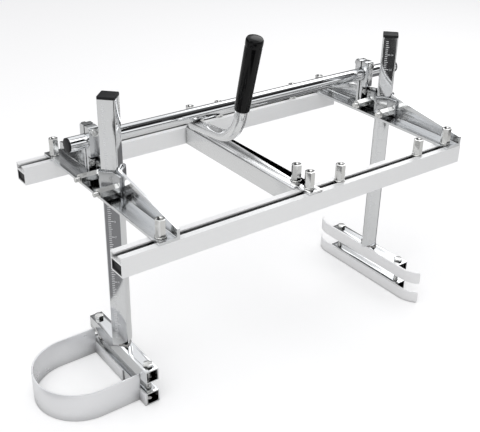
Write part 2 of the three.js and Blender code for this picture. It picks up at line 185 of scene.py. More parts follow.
def drill(radius: float, spot: Vector, low: float, high: float) -> Object:
    """Adds an upright tool that bores through between two levels, past a spot in plan."""
    x, y, _ = spot
    return rod(radius, (x, y, low - OVERRUN), (x, y, high + OVERRUN), COARSE)


@contextmanager
def editing(obj: Object) -> Iterator[bmesh.types.BMesh]:
    """Opens an object in edit mode with nothing selected.

    Args:
        obj: The object to shape.

    Yields:
        The mesh being edited.
    """
    activate(obj)
    bpy.ops.object.mode_set(mode="EDIT")
    bpy.ops.mesh.select_all(action="DESELECT")
    yield bmesh.from_edit_mesh(obj.data)
    bpy.ops.object.mode_set(mode="OBJECT")


def flat_distance(a: Vector, b: Vector) -> float:
    """Distance between two points in plan."""
    return (a.xy - b.xy).length


def is_upright(a: Vector, b: Vector) -> bool:
    """Whether an edge stands upright."""
    return flat_distance(a, b) < CLOSE


def is_level(a: Vector, b: Vector) -> bool:
    """Whether an edge lies level."""
    return abs(a.z - b.z) < CLOSE


def runs_along_y(a: Vector, b: Vector) -> bool:
    """Whether an edge runs along Y."""
    return abs(a.y - b.y) > 1


def upright_at(spot: Vector, reach: float = CLOSE) -> Test:
    """Makes a test for the upright edge that stands at a spot in plan."""
    return lambda a, b: flat_distance(a, spot) + flat_distance(b, spot) < reach


def on_line(**places: float) -> Test:
    """Makes a test for edges that lie on a line, given by two of its places x, y and z."""
    return lambda a, b: all(
        abs(getattr(end, axis) - place) < CLOSE
        for end in (a, b) for axis, place in places.items()
    )


def pick_edges(obj: Object, wanted: Test) -> None:
    """Selects edges by the places of their two ends, in edit mode.

    Args:
        obj: The object in edit mode.
        wanted: Says whether an edge between two points is picked.
    """
    bpy.ops.mesh.select_mode(type="EDGE")
    bpy.ops.mesh.select_all(action="DESELECT")
    mesh = bmesh.from_edit_mesh(obj.data)
    for edge in mesh.edges:
        if wanted(edge.verts[0].co, edge.verts[1].co):
            edge.select_set(True)
    bmesh.update_edit_mesh(obj.data)


def extrude(step: Point) -> None:
    """Draws out what is selected in edit mode by a step."""
    bpy.ops.mesh.extrude_region_move(TRANSFORM_OT_translate={"value": step})


def modify(obj: Object, kind: str, **settings: object) -> Object:
    """Adds a modifier and applies it at once.

    Args:
        obj: The object to change.
        kind: Blender's name of the modifier's type.
        **settings: The modifier's own settings.

    Returns:
        The same object.
    """
    activate(obj)
    modifier = obj.modifiers.new(kind.lower(), kind)
    for name, value in settings.items():
        setattr(modifier, name, value)
    bpy.ops.object.modifier_apply(modifier=modifier.name)
    return obj


def combine(obj: Object, tool: Object, operation: str) -> Object:
    """Joins, cuts or intersects one body with another, which is used up.

    Args:
        obj: The body that stays.
        tool: The body that is used up.
        operation: UNION, DIFFERENCE or INTERSECT.

    Returns:
        The body that stays.
    """
    modify(obj, "BOOLEAN", object=tool, operation=operation, solver="EXACT")
    bpy.data.objects.remove(tool)
    return obj


def cut(obj: Object, *tools: Object) -> Object:
    """Cuts each tool out of a body."""
    for tool in tools:
        combine(obj, tool, "DIFFERENCE")
    return obj


def fuse(obj: Object, *others: Object) -> Object:
    """Joins other bodies to a body as one skin."""
    for other in others:
        combine(obj, other, "UNION")
    return obj


def gather(obj: Object, *others: Object) -> Object:
    """Puts separate closed bodies into one object, such as a bolt and its nut."""
    activate(obj)
    for other in others:
        other.select_set(True)
    bpy.ops.object.join()
    return obj


def ease(obj: Object, width: float, segments: int = 2) -> Object:
    """Rounds every sharp edge to a width in millimetres, in a number of steps."""
    return modify(
        obj, "BEVEL", width=width, segments=segments, limit_method="ANGLE",
        angle_limit=math.radians(SHARP), use_clamp_overlap=True,
    )


def round_edges(obj: Object, wanted: Test, radius: float, segments: int = 4) -> Object:
    """Rounds chosen edges in edit mode.

    Args:
        obj: The object to shape.
        wanted: Says whether an edge between two points is rounded.
        radius: Radius of the rounding in millimetres.
        segments: Steps of the rounding.

    Returns:
        The same object.
    """
    with editing(obj):
        pick_edges(obj, wanted)
        bpy.ops.mesh.bevel(offset=radius, segments=segments, affect="EDGES")
    return obj


def slice_off(obj: Object, place: Point, away: Point) -> None:
    """Cuts off what lies beyond a plane and closes the cut.

    Args:
        obj: The object to cut.
        place: A point on the plane.
        away: The direction of what is cut off.
    """
    normal = Vector(away).normalized()
    with editing(obj):
        bpy.ops.mesh.select_all(action="SELECT")
        bpy.ops.mesh.bisect(plane_co=place, plane_no=normal, clear_outer=True, use_fill=True)


def tidy_normals(obj: Object) -> Object:
    """Merges doubled points and points every face outwards."""
    with editing(obj):
        bpy.ops.mesh.select_all(action="SELECT")
        bpy.ops.mesh.remove_doubles(threshold=MERGE)
        bpy.ops.mesh.normals_make_consistent(inside=False)
    return obj


def turned(obj: Object, matrix: Matrix) -> Object:
    """Moves a body's mesh by a matrix and returns the body."""
    obj.data.transform(matrix)
    return obj


def copy_of(obj: Object, shift: Point) -> Object:
    """Copies a finished body with a mesh of its own and moves the copy."""
    twin = obj.copy()
    twin.data = obj.data.copy()
    bpy.context.scene.collection.objects.link(twin)
    return turned(twin, Matrix.Translation(Vector(shift)))


def ribbon(points: Sequence[Point], low: float, height: float) -> Object:
    """Draws an upright band through points of a plan, as one sheet.

    Args:
        points: Places of the band in X and Y, in order.
        low: Level of its lower edge.
        height: Its height.

    Returns:
        The sheet, which has no thickness yet.
    """
    start, last = Vector((*points[0], low)), Vector((*points[1], low))
    rise = Vector((0, 0, height))
    obj = added(bpy.ops.mesh.primitive_plane_add, size=1)
    corners = [start, last, start + rise, last + rise]
    for vertex in obj.data.vertices:
        vertex.co = corners[(vertex.co.x > 0) + 2 * (vertex.co.y > 0)]
    for point in points[2:]:
        step = Vector((*point, low)) - last
        with editing(obj):
            pick_edges(obj, upright_at(last))
            extrude(step)
        last = last + step
    return obj


def thicken(obj: Object, thickness: float, offset: float) -> Object:
    """Gives a sheet its wall, which stands on the side that the offset names, from -1 to 1."""
    return modify(
        obj, "SOLIDIFY", thickness=thickness, offset=offset, use_even_offset=True,
        use_quality_normals=True,
    )


def threaded_rod(radius: float, start: float, end: float, pitch: float, sides: int = 20) -> Object:
    """Adds an upright bar at the origin with a helical thread.

    Args:
        radius: Outer radius of the thread.
        start: Level of the lower end.
        end: Level of the upper end.
        pitch: Rise of the thread in one turn.
        sides: Number of points around the bar.

    Returns:
        The new bar.
    """
    quarter, depth, run_out = pitch / 4, pitch * 0.5, pitch * 0.35
    rings = max(2, math.ceil((end - start) / quarter))
    obj = freeze(
        added(
            bpy.ops.mesh.primitive_circle_add, vertices=sides, radius=radius, fill_type="NGON",
            location=(0, 0, start),
        )
    )
    with editing(obj):
        bpy.ops.mesh.select_all(action="SELECT")
        for _ in range(rings):
            extrude((0, 0, (end - start) / rings))
    for vertex in obj.data.vertices:
        around = math.atan2(vertex.co.y, vertex.co.x) / math.tau
        phase = (vertex.co.z / pitch - around) % 1.0
        sink = depth * (1 - abs(phase * 2 - 1)) if start < vertex.co.z < end else run_out
        vertex.co.xy *= (radius - sink) / radius
    return tidy_normals(obj)


def bead(points: Sequence[Point], radius: float, spacing: float) -> Object:
    """Lays a rippled weld bead along a line of points.

    Args:
        points: The line's corners in millimetres.
        radius: Radius of the bead.
        spacing: Distance between two ripples.

    Returns:
        The bead as one closed skin.
    """
    unevenness, wave, grid = 0.12, 2.4, radius * 0.22
    drops: list[Object] = []
    for first, last in zip(points, points[1:]):
        a, b = Vector(first), Vector(last)
        count = max(1, round((b - a).length / spacing))
        for index in range(count):
            swell = 1 + unevenness * math.sin(len(drops) * wave)
            spot = a.lerp(b, (index + 0.5) / count)
            drop = added(
                bpy.ops.mesh.primitive_ico_sphere_add, subdivisions=2, radius=radius * swell,
                location=spot,
            )
            drops.append(drop)
    chain = freeze(gather(*drops))
    modify(chain, "REMESH", mode="VOXEL", voxel_size=grid, use_smooth_shade=True)
    return modify(chain, "SMOOTH", factor=0.5, iterations=2)


# Finishes


class Shader:
    """The nodes of one material or of the world, added and wired in one call each."""

    def __init__(self, name: str, world: bool = False) -> None:
        """Starts a material, or the world, with its surface node."""
        self.owner = bpy.data.worlds.new(name) if world else bpy.data.materials.new(name)
        self.owner.use_nodes = True
        self.tree = self.owner.node_tree
        self.surface = self.tree.nodes["Background" if world else "Principled BSDF"]

    def feed(self, node: bpy.types.Node, inputs: dict) -> None:
        """Wires sockets into a node's inputs, or sets plain values on them.

        Args:
            node: The node that takes the values.
            inputs: Other nodes' outputs, numbers, colours or vectors, each under its input's name
                or number.
        """
        for name, value in inputs.items():
            if isinstance(value, Socket):
                self.tree.links.new(value, node.inputs[name])
            else:
                node.inputs[name].default_value = value

    def node(self, kind: str, inputs: dict | None = None, **settings: object) -> bpy.types.Node:
        """Adds a node.

        Args:
            kind: Its type, without Blender's prefix.
            inputs: Values or wires of its inputs.
            **settings: Its own settings.

        Returns:
            The new node.
        """
        node = self.tree.nodes.new("ShaderNode" + kind)
        for name, value in settings.items():
            setattr(node, name, value)
        self.feed(node, inputs or {})
        return node

    def math(self, operation: str, *values: object) -> Socket:
        """Adds a sum of up to three values and returns its result."""
        return self.node("Math", dict(enumerate(values)), operation=operation).outputs[0]

    def spread(self, value: Socket, source: Point, target: Point) -> Socket:
        """Stretches a range of values to another range, in which the result is held."""
        return self.node("MapRange", dict(enumerate((value, *source, *target)))).outputs[0]

    def blend(self, share: object, first: object, second: object) -> Socket:
        """Mixes two colours by a share and returns the colour."""
        inputs = {0: share, 6: first, 7: second}
        return self.node("Mix", inputs, data_type="RGBA").outputs[2]

    def place(self, scale: Point = (1, 1, 1)) -> Socket:
        """Object coordinates in metres, stretched by a scale along each axis."""
        coordinates = self.node("TexCoord").outputs["Object"]
        return self.node("Mapping", {"Vector": coordinates, "Scale": scale}).outputs[0]

    def noise(self, place: Socket, scale: float, detail: float) -> Socket:
        """Cloudy values between 0 and 1 at a number of clouds to the metre."""
        inputs = {"Vector": place, "Scale": scale, "Detail": detail, "Roughness": 0.6}
        return self.node("TexNoise", inputs).outputs["Fac"]

    def relief(self, height: Socket, depth: float) -> Socket:
        """Turns heights between 0 and 1 into a relief of a depth in metres."""
        return self.node("Bump", {"Height": height, "Distance": depth, "Strength": 1.0}).outputs[0]

    def edges(self, radius: float) -> Socket:
        """Finds the worn edges of a piece.

        Args:
            radius: How far from the edge the wear reaches, in metres.

        Returns:
            1 on an edge, 0 away from it.
        """
        soft = self.node("Bevel", {"Radius": radius}, samples=4).outputs[0]
        normal = self.node("NewGeometry").outputs["Normal"]
        same = self.node("VectorMath", {0: soft, 1: normal}, operation="DOT_PRODUCT")
        flat, sharp = 0.995, 0.93
        return self.spread(same.outputs["Value"], (flat, sharp), (0.0, 1.0))

    def crevices(self, reach: float) -> Socket:
        """Painted shade: 0 deep in a slot, bore or gap where a neighbour is within reach, 1 in the
        open; the metal's colour is darkened toward 0.
        """
        open_share = self.node("AmbientOcclusion", {"Distance": reach}, samples=8).outputs["AO"]
        shut, clear = 0.12, 0.62
        return self.spread(open_share, (shut, clear), (0.0, 1.0))


def opaque(color: Color, level: float = 1.0) -> tuple[float, float, float, float]:
    """A colour at a share of its brightness, with its opacity."""
    return (color[0] * level, color[1] * level, color[2] * level, 1.0)


@dataclass(frozen=True)
class Metal:
    """A plated, drawn or polished metal.

    The grain is the number of marks to the metre along X, Y and Z: few along the way the metal
    was drawn or brushed, many across it.
    """

    name: str
    color: Color
    roughness: float
    grain: tuple[float, float, float]
    grain_depth: float = 0.00001
    streak: float = 0.06
    smudge: float = 0.05
    wear: float = 0.0006
    spangle: float = 0.0
    metallic: float = 1.0
    # Painted shade: the next two fields darken the colour to a share of itself (depth) in slots,
    # bores and gaps within a reach in metres of a neighbour.
    crevice: float = 0.012
    depth: float = 0.05
    smudges: float = 16.0
    flakes: float = 210.0
    flake_shade: float = 0.8
    flake_gloss: float = 0.3
    rubbed: Color = (0.9, 0.91, 0.92)
    rubbed_clouds: tuple[float, float] = (0.35, 0.6)
    rubbed_shares: tuple[float, float] = (0.3, 1.0)
    rubbed_gloss: float = 0.5
    least_roughness: float = 0.03

    def shader(self, name: str = "") -> Shader:
        """Builds the finish's nodes.

        Args:
            name: Name of the material, if it isn't the finish's own.

        Returns:
            The shader, so that a piece may add marks of its own.
        """
        shader = Shader(name or self.name)
        streaks = shader.noise(shader.place(self.grain), scale=1.0, detail=4.0)
        clouds = shader.noise(shader.place(), self.smudges, detail=5.0)
        tint = shader.blend(streaks, opaque(self.color, 1 - self.streak), opaque(self.color))
        gloss = shader.spread(clouds, USUAL, (-self.smudge, self.smudge))
        if self.spangle:
            cells = shader.node("TexVoronoi", {"Vector": shader.place(), "Scale": self.flakes})
            flake = shader.node("SeparateColor", {0: cells.outputs["Color"]}).outputs[0]
            share = shader.math("MULTIPLY", flake, self.spangle)
            tint = shader.blend(share, tint, opaque(self.color, self.flake_shade))
            dull = shader.math("MULTIPLY", flake, self.spangle * self.flake_gloss)
            gloss = shader.math("ADD", gloss, dull)
        patches = shader.spread(clouds, self.rubbed_clouds, self.rubbed_shares)
        worn = shader.math("MULTIPLY", shader.edges(self.wear), patches)
        tint = shader.blend(worn, tint, opaque(self.rubbed))
        # Painted shade: the colour darkens in slots, bores and gaps where neighbours are near.
        tint = shader.blend(shader.crevices(self.crevice), opaque(self.color, self.depth), tint)
        lines = shader.spread(streaks, USUAL, (-self.streak, self.streak))
        rough = shader.math("ADD", self.roughness, shader.math("ADD", gloss, lines))
        rough = shader.math("MULTIPLY_ADD", worn, -self.rubbed_gloss * self.roughness, rough)
        shader.feed(
            shader.surface,
            {
                "Base Color": tint, "Metallic": self.metallic,
                "Roughness": shader.math("MAXIMUM", rough, self.least_roughness),
                "Normal": shader.relief(streaks, self.grain_depth),
            },
        )
        return shader

    def material(self) -> bpy.types.Material:
        """The finished material."""
        return self.shader().owner


@dataclass(frozen=True)
class Plastic:
    """A moulded or dipped black plastic, with the size of its grain and its gloss."""

    name: str
    color: Color
    roughness: float
    grain: float
    grain_depth: float
    shine: float
    wear: float = 0.0007
    smudges: float = 30.0
    shades: tuple[float, float] = (0.8, 1.5)
    glosses: tuple[float, float] = (0.8, 1.25)
    rubbed: Color = (0.06, 0.06, 0.062)

    def material(self) -> bpy.types.Material:
        """Builds the finished material."""
        shader = Shader(self.name)
        pebbles = shader.noise(shader.place(), self.grain, detail=2.0)
        clouds = shader.noise(shader.place(), self.smudges, detail=4.0)
        tint = shader.blend(clouds, *(opaque(self.color, shade) for shade in self.shades))
        worn = shader.math("MULTIPLY", shader.edges(self.wear), clouds)
        rough = shader.spread(clouds, USUAL, [self.roughness * share for share in self.glosses])
        shader.feed(
            shader.surface,
            {
                "Base Color": shader.blend(worn, tint, opaque(self.rubbed)),
                "Roughness": rough, "Specular IOR Level": self.shine,
                "Normal": shader.relief(pebbles, self.grain_depth),
            },
        )
        return shader.owner


@dataclass(frozen=True)
class EtchedScale:
    """A generic inch scale in eighths, etched on one face of a chromed post.

    Every fourth line marks half an inch and every eighth an inch.
    """

    base: Metal
    turn: float = -45.0
    pitch: float = 3.175
    fourth: float = 4.0
    eighth: float = 8.0
    tolerance: float = 0.1
    line: float = 0.17
    start: float = -6.5
    short: float = 4.0
    middle: float = 5.6
    long: float = 8.0
    face_depth: float = 12.2
    color: Color = (0.75, 0.76, 0.77)
    matt: float = 0.8

    def material(self, name: str, axis: Vector, zero: float, top: float) -> bpy.types.Material:
        """Builds the finish for one post.

        Args:
            name: Name of the material.
            axis: Place of the post's axis in millimetres.
            zero: Level of the scale's zero mark.
            top: Level at which the scale ends.

        Returns:
            The finished material.
        """
        shader = self.base.shader(name)
        place = shader.node(
            "Mapping",
            {
                "Vector": shader.node("TexCoord").outputs["Object"],
                "Location": (axis.x * MM, axis.y * MM, 0.0),
                "Rotation": (0.0, 0.0, math.radians(self.turn)),
            },
            vector_type="TEXTURE",
        ).outputs[0]
        across, depth, height = shader.node("SeparateXYZ", {0: place}).outputs
        count = shader.math("DIVIDE", shader.math("SUBTRACT", height, zero * MM), self.pitch * MM)
        nearest = shader.math("ROUND", count)
        reach: object = self.short * MM
        for lines, growth in (
            (self.fourth, self.middle - self.short), (self.eighth, self.long - self.middle),
        ):
            rest = shader.math("FLOORED_MODULO", nearest, lines)
            whole = shader.math("COMPARE", rest, 0.0, self.tolerance)
            reach = shader.math("MULTIPLY_ADD", whole, growth * MM, reach)
        miss = shader.math("ABSOLUTE", shader.math("SUBTRACT", count, nearest))
        mark = shader.math("LESS_THAN", miss, self.line)
        for operation, value, limit in (
            ("GREATER_THAN", across, self.start * MM),
            ("LESS_THAN", shader.math("SUBTRACT", across, self.start * MM), reach),
            ("LESS_THAN", depth, -self.face_depth * MM),
            ("GREATER_THAN", height, (zero - self.pitch / 2) * MM),
            ("LESS_THAN", height, top * MM),
        ):
            mark = shader.math("MULTIPLY", mark, shader.math(operation, value, limit))
        matt = shader.math("MULTIPLY", mark, self.matt)
        color, rough = (
            shader.surface.inputs[name].links[0].from_socket for name in ("Base Color", "Roughness")
        )
        shader.feed(
            shader.surface,
            {
                "Base Color": shader.blend(mark, color, opaque(self.color)),
                "Roughness": shader.math("MAXIMUM", rough, matt),
                "Metallic": shader.math("SUBTRACT", 1.0, matt),
            },
        )
        return shader.owner


MILL_ALUMINIUM = Metal(
    "mill_aluminium", (0.98, 0.985, 0.985), 0.38, (3, 500, 500), 0.000003, 0.04, metallic=0.3
)
BRUSHED_ANGLE = Metal(
    "brushed_angle", (0.90, 0.905, 0.91), 0.22, (700, 14, 700), 0.000004, 0.05
)
POLISHED_PLATE = Metal(
    "polished_plate", (0.80, 0.81, 0.82), 0.17, (420, 40, 420), 0.000005, 0.05
)
SADDLE_PLATE = Metal(
    "saddle_plate", (0.60, 0.61, 0.62), 0.15, (300, 300, 60), 0.000004, 0.05, 0.04
)
CHROME = Metal("bright_chrome", (0.84, 0.85, 0.86), 0.07, (300, 300, 30), 0.000002, 0.02, 0.03)
# The jaws and the hoop take a longer reach of painted shade in their hollows.
JAW_CHROME = Metal(
    "jaw_chrome", (0.80, 0.81, 0.82), 0.07, (300, 30, 300), 0.000002, 0.02, 0.03, crevice=0.035
)
ARM_CHROME = Metal(
    "arm_chrome", (0.90, 0.905, 0.91), 0.10, (200, 200, 200), 0.000002, 0.02, 0.03, metallic=0.8
)
ZINC = Metal("bright_zinc", (0.80, 0.80, 0.785), 0.13, (200, 200, 200), 0.000003, 0.05, wear=0.0004)
GALVANISED = Metal(
    "galvanised_strip", (0.97, 0.975, 0.99), 0.3, (18, 18, 60), 0.000001, 0.03, 0.03, 0.0005, 0.03,
    0.6, crevice=0.05, depth=0.35,
)
STRIP_STEEL = Metal(
    "strip_steel", (0.98, 0.98, 0.985), 0.36, (50, 50, 700), 0.000004, 0.04, 0.04, 0.0005, 0.04, 0.4
)
WELD = Metal("weld_bead", (0.46, 0.45, 0.44), 0.42, (700, 700, 700), 0.00006, 0.2, 0.1)
ETCHING = Metal(
    "etched_figures", (0.70, 0.71, 0.72), 0.7, (900, 900, 900), 0.000004, 0.05, 0.02, metallic=0.2
)
BLACK_PLASTIC = Plastic("black_plastic", (0.010, 0.010, 0.011), 0.45, 2600.0, 0.00004, 0.25)
GLOSSY_GRIP = Plastic("glossy_grip", (0.002, 0.002, 0.0022), 0.12, 160.0, 0.00006, 0.22)

Finish = Metal | Plastic | bpy.types.Material


@dataclass
class Workshop:
    """Takes each finished piece to its body and its finish."""

    frame: dict
    materials: dict[str, bpy.types.Material] = field(default_factory=dict)
    body_of: dict[str, str] = field(default_factory=dict)
    slot_of: dict[str, str] = field(default_factory=dict)

    def __post_init__(self) -> None:
        """Reads which body and which slot each CAD node has."""
        record = self.frame["record"]
        for body, nodes in record["behaviour"]["bodies"].items():
            self.body_of.update(dict.fromkeys(nodes, body))
        for part in record["subparts"]:
            self.slot_of[part["node"]] = part["material_slot"]

    def coat(self, finish: Finish) -> bpy.types.Material:
        """The material of a finish, built once."""
        if isinstance(finish, bpy.types.Material):
            return finish
        if finish.name not in self.materials:
            self.materials[finish.name] = finish.material()
        return self.materials[finish.name]

    def span(self, node: str) -> tuple[Vector, Vector]:
        """Lowest and highest corner of a CAD node in millimetres."""
        low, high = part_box(node)
        return low / MM, high / MM

    def middle(self, node: str) -> Vector:
        """Middle of a CAD node's box in millimetres."""
        low, high = self.span(node)
        return (low + high) / 2

    def add(self, obj: Object, name: str, node: str, finish: Finish) -> None:
        """Settles a piece that rides with a CAD node.

        Args:
            obj: The finished body, in millimetres.
            name: The piece's name.
            node: The CAD node with which it rides.
            finish: Its finish, or a material of its own.
        """
        turned(obj, Matrix.Scale(MM, 4))
        obj.name = obj.data.name = name
        activate(obj)
        bpy.ops.object.shade_smooth_by_angle(angle=math.radians(SMOOTH))
        obj.data.materials.clear()
        obj.data.materials.append(self.coat(finish))
        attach(obj, self.body_of[node])
        LOG.info("%s rides on %s, %d faces", name, self.body_of[node], len(obj.data.polygons))

    def stand_in(self, obj: Object, node: str, finish: Finish) -> None:
        """Settles a piece in place of a CAD node."""
        self.add(obj, f"{node}_fine", node, finish)
        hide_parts(node)

    def fasten(self, pattern: Object, nodes: Sequence[str], level: float) -> None:
        """Settles upright copies of a fastener, which is used up, in place of CAD nodes.

        Args:
            pattern: The fastener on the origin's axis, in millimetres.
            nodes: The CAD nodes.
            level: How far the copies are lifted.
        """
        for node in nodes:
            spot = self.middle(node)
            self.stand_in(copy_of(pattern, (spot.x, spot.y, level)), node, ZINC)
        bpy.data.objects.remove(pattern)


# Fasteners


def taper(low_radius: float, high_radius: float, low: float, high: float) -> Object:
    """Adds an upright cone at the origin, cut off at both ends."""
    return freeze(
        added(
            bpy.ops.mesh.primitive_cone_add, vertices=40, radius1=low_radius,
            radius2=high_radius, depth=high - low, location=(0, 0, (low + high) / 2),
        )
    )


def hexagon(across: float, low: float, high: float) -> Object:
    """Adds an upright hexagon at the origin with both ends turned down at its corners.

    Args:
        across: Width across the flats.
        low: Level of the lower end.
        high: Level of the upper end.

    Returns:
        The hexagon.
    """
    corner, clearance, chamfer = across / math.sqrt(3), 0.05, across * 0.085
    nut = rod(corner, (0, 0, low), (0, 0, high), sides=6, turn=30)
    barrel = round_edges(rod(corner + clearance, (0, 0, low), (0, 0, high)), is_level, chamfer, 2)
    return combine(nut, barrel, "INTERSECT")


def washer(radius: float, low: float, high: float) -> Object:
    """Adds an upright round plate at the origin with eased rims."""
    rim_share = 0.28
    return ease(rod(radius, (0, 0, low), (0, 0, high)), (high - low) * rim_share, 3)


@dataclass
class RailFastener:
    """A square-headed slot bolt and the long nut with a round foot that stands on it."""

    across: float = 13.0
    length: float = 26.0
    foot_radius: float = 8.0
    foot_height: float = 1.8
    foot_lap: float = 0.2
    thread: float = 4.0
    pitch: float = 1.25
    bore_fit: float = 0.1
    bore_lap: float = 0.4
    thread_fit: float = 0.12
    shank_fit: float = 0.05
    mouth_throat: float = 0.4
    mouth_rim: float = 0.9
    mouth_depth: float = 1.1
    mouth_over: float = 0.2
    head_side: float = 13.0
    head_height: float = 5.0
    head_edge: float = 0.7
    head_drop: float = 2.3
    reach: float = 15.0
    bite: float = 0.5

    def build(self, seat: float) -> Object:
        """Models the fastener upright at the origin, with the rail's top at zero.

        Args:
            seat: Level on which the long nut's foot stands.

        Returns:
            The nut and the bolt in one object.
        """
        top, tip, thread = seat + self.length, seat + self.reach, self.thread
        nut = fuse(
            hexagon(self.across, seat + self.foot_lap, top),
            washer(self.foot_radius, seat, seat + self.foot_height),
        )
        cut(
            nut,
            rod(
                thread + self.bore_fit, (0, 0, seat - OVERRUN), (0, 0, tip + self.bore_lap), COARSE
            ),
            threaded_rod(thread + self.thread_fit, tip, top + OVERRUN, self.pitch),
            taper(
                thread - self.mouth_throat, thread + self.mouth_rim, top - self.mouth_depth,
                top + self.mouth_over,
            ),
        )
        half, neck = self.head_side / 2, -self.head_drop
        head = block((-half, -half, neck - self.head_height), (half, half, neck))
        shank = threaded_rod(thread - self.shank_fit, neck - self.bite, tip, self.pitch)
        return gather(nut, fuse(ease(head, self.head_edge), shank))


@dataclass
class ClampBolt:
    """An upright hexagon bolt with the parts that show on it.

    Levels run along the bolt: its tip, the nut's two faces and the seat under the head.
    """

    seat: float
    head: float
    tip: float
    nut: tuple[float, ...] = ()
    across: float = 13.0
    thread: float = 3.95
    pitch: float = 1.25
    washer_radius: float = 0.0
    washer_height: float = 2.0
    nut_fit: float = 0.12
    washer_fit: float = 0.4
    bite: float = 0.5

    def build(self) -> Object:
        """Models the bolt upright at the origin.

        Returns:
            Head, shank, washer and nut in one object.
        """
        shank = threaded_rod(self.thread, self.tip, self.seat + self.bite, self.pitch)
        bolt = fuse(hexagon(self.across, self.seat, self.seat + self.head), shank)
        rings = []
        if self.nut:
            rings.append((hexagon(self.across, *self.nut), self.nut_fit, self.nut))
        if self.washer_radius:
            faces = (self.seat - self.washer_height, self.seat)
            rings.append((washer(self.washer_radius, *faces), self.washer_fit, faces))
        for ring, fit, faces in rings:
            gather(bolt, cut(ring, drill(self.thread + fit, Vector(), *faces)))
        return bolt


# The mill's pieces


@dataclass
class SlottedBar:
    """The aluminium section of the rails: a box chamber under a T-shaped slot."""

    side: float = 28.0
    wall: float = 2.0
    chamber_top: float = 17.0
    slot_floor: float = 19.0
    slot_width: float = 9.0
    edge: float = 0.45

    def build(self, low: Vector, high: Vector) -> Object:
        """Models a bar along X between two corners.

        Args:
            low: Lowest corner of the bar.
            high: Highest corner of the bar.

        Returns:
            The bar.
        """

        def space(near: float, far: float, floor: float, top: float, over: float) -> Object:
            """A box in the section that runs past both ends of the bar by over."""
            start = (low.x - over, low.y + near, low.z + floor)
            return block(start, (high.x + over, low.y + far, low.z + top))

        inner = self.side - self.wall
        lip = (self.side - self.slot_width) / 2
        bar = cut(
            space(0, self.side, 0, self.side, 0),
            space(self.wall, inner, self.wall, self.chamber_top, OVERRUN),
            space(self.wall, inner, self.slot_floor, inner, OVERRUN),
            space(lip, self.side - lip, self.slot_floor + 1, self.side + OVERRUN, OVERRUN),
        )
        return ease(bar, self.edge)


@dataclass
class RailFrame:
    """Both rails with their end plugs and the spare fasteners that stand in their slots."""

    shop: Workshop
    bar: SlottedBar = field(default_factory=SlottedBar)
    fastener: RailFastener = field(default_factory=RailFastener)
    plug_rim: float = 2.2
    plug_dish: float = 1.4
    plug_edge: float = 0.35

    def build(self) -> None:
        """Models rails, plugs and spare fasteners."""
        for rail in ("front_rail", "rear_rail"):
            self.shop.stand_in(self.bar.build(*self.shop.span(rail)), rail, MILL_ALUMINIUM)
            for side, way in (("left", -1), ("right", 1)):
                node = f"{rail}_{side}_plug"
                self.shop.stand_in(self.plug(node, way), node, BLACK_PLASTIC)
        spares = [f"spare_fastener_{row}_{place}" for row in ROWS for place in ("left", "right")]
        self.shop.fasten(self.fastener.build(0.0), spares, self.shop.span("front_rail")[1].z)

    def plug(self, node: str, way: int) -> Object:
        """Models a plug with a dished outer face.

        Args:
            node: The plug's CAD node.
            way: -1 where the plug faces -X, 1 where it faces +X.

        Returns:
            The plug.
        """
        plug = block(*self.shop.span(node))
        with editing(plug) as mesh:
            bpy.ops.mesh.select_mode(type="FACE")
            mesh.normal_update()
            for face in mesh.faces:
                face.select_set(face.normal.x * way > 0.9)
            bpy.ops.mesh.inset(thickness=self.plug_rim)
            extrude((-way * self.plug_dish, 0, 0))
        return ease(plug, self.plug_edge)


@dataclass
class Brace:
    """The steel angle between the rails: a leg at its left, a tongue over each rail, four bolts."""

    shop: Workshop
    rail_bolt: RailFastener = field(default_factory=RailFastener)
    end_bolt: RailFastener = field(default_factory=lambda: RailFastener(head_drop=0.3))
    thickness: float = 4.0
    tongue: float = 23.0
    fit: float = 0.3
    fold_radius: float = 4.5
    inner_radius: float = 1.0
    hole_radius: float = 4.5
    edge: float = 0.5

    def build(self) -> None:
        """Models the angle and its fasteners."""
        self.shop.stand_in(self.angle(), "brace", BRUSHED_ANGLE)
        level = self.shop.span("front_rail")[1].z
        for end, bolt in (("rail", self.rail_bolt), ("end", self.end_bolt)):
            nodes = [f"brace_{row}_{end}_fastener" for row in ROWS]
            self.shop.fasten(bolt.build(self.thickness), nodes, level)

    def angle(self) -> Object:
        """Models the angle, rounded along its fold and drilled for its fasteners."""
        low, high = self.shop.span("brace")
        near = self.shop.span("front_rail")[1].y + self.fit
        far = self.shop.span("rear_rail")[0].y - self.fit
        fold, floor = low.x + self.thickness, high.z - self.thickness
        under = (fold, near - OVERRUN, low.z - OVERRUN), (high.x + OVERRUN, far + OVERRUN, floor)
        plate = cut(block((low.x, near, low.z), (high.x, far, high.z)), block(*under))
        for x, z, radius in ((low.x, high.z, self.fold_radius), (fold, floor, self.inner_radius)):
            round_edges(plate, on_line(x=x, z=z), radius, segments=6)
        fuse(plate, block((high.x - self.tongue, low.y, floor), high))
        drills = [
            drill(self.hole_radius, self.shop.middle(f"brace_{row}_{end}_fastener"), floor, high.z)
            for row in ROWS for end in ("rail", "end")
        ]
        return ease(cut(plate, *drills), self.edge)


@dataclass
class EndPart:
    """What stands at one end of the mill."""

    shop: Workshop
    side: Side

    def node(self, part: str) -> str:
        """Name of one of this side's CAD nodes."""
        return f"{self.side.value}_{part}"

    def pair(self, part: str) -> list[str]:
        """Names of this side's front and rear CAD nodes, with the row's name put into part."""
        return [self.node(part.format(row)) for row in ROWS]


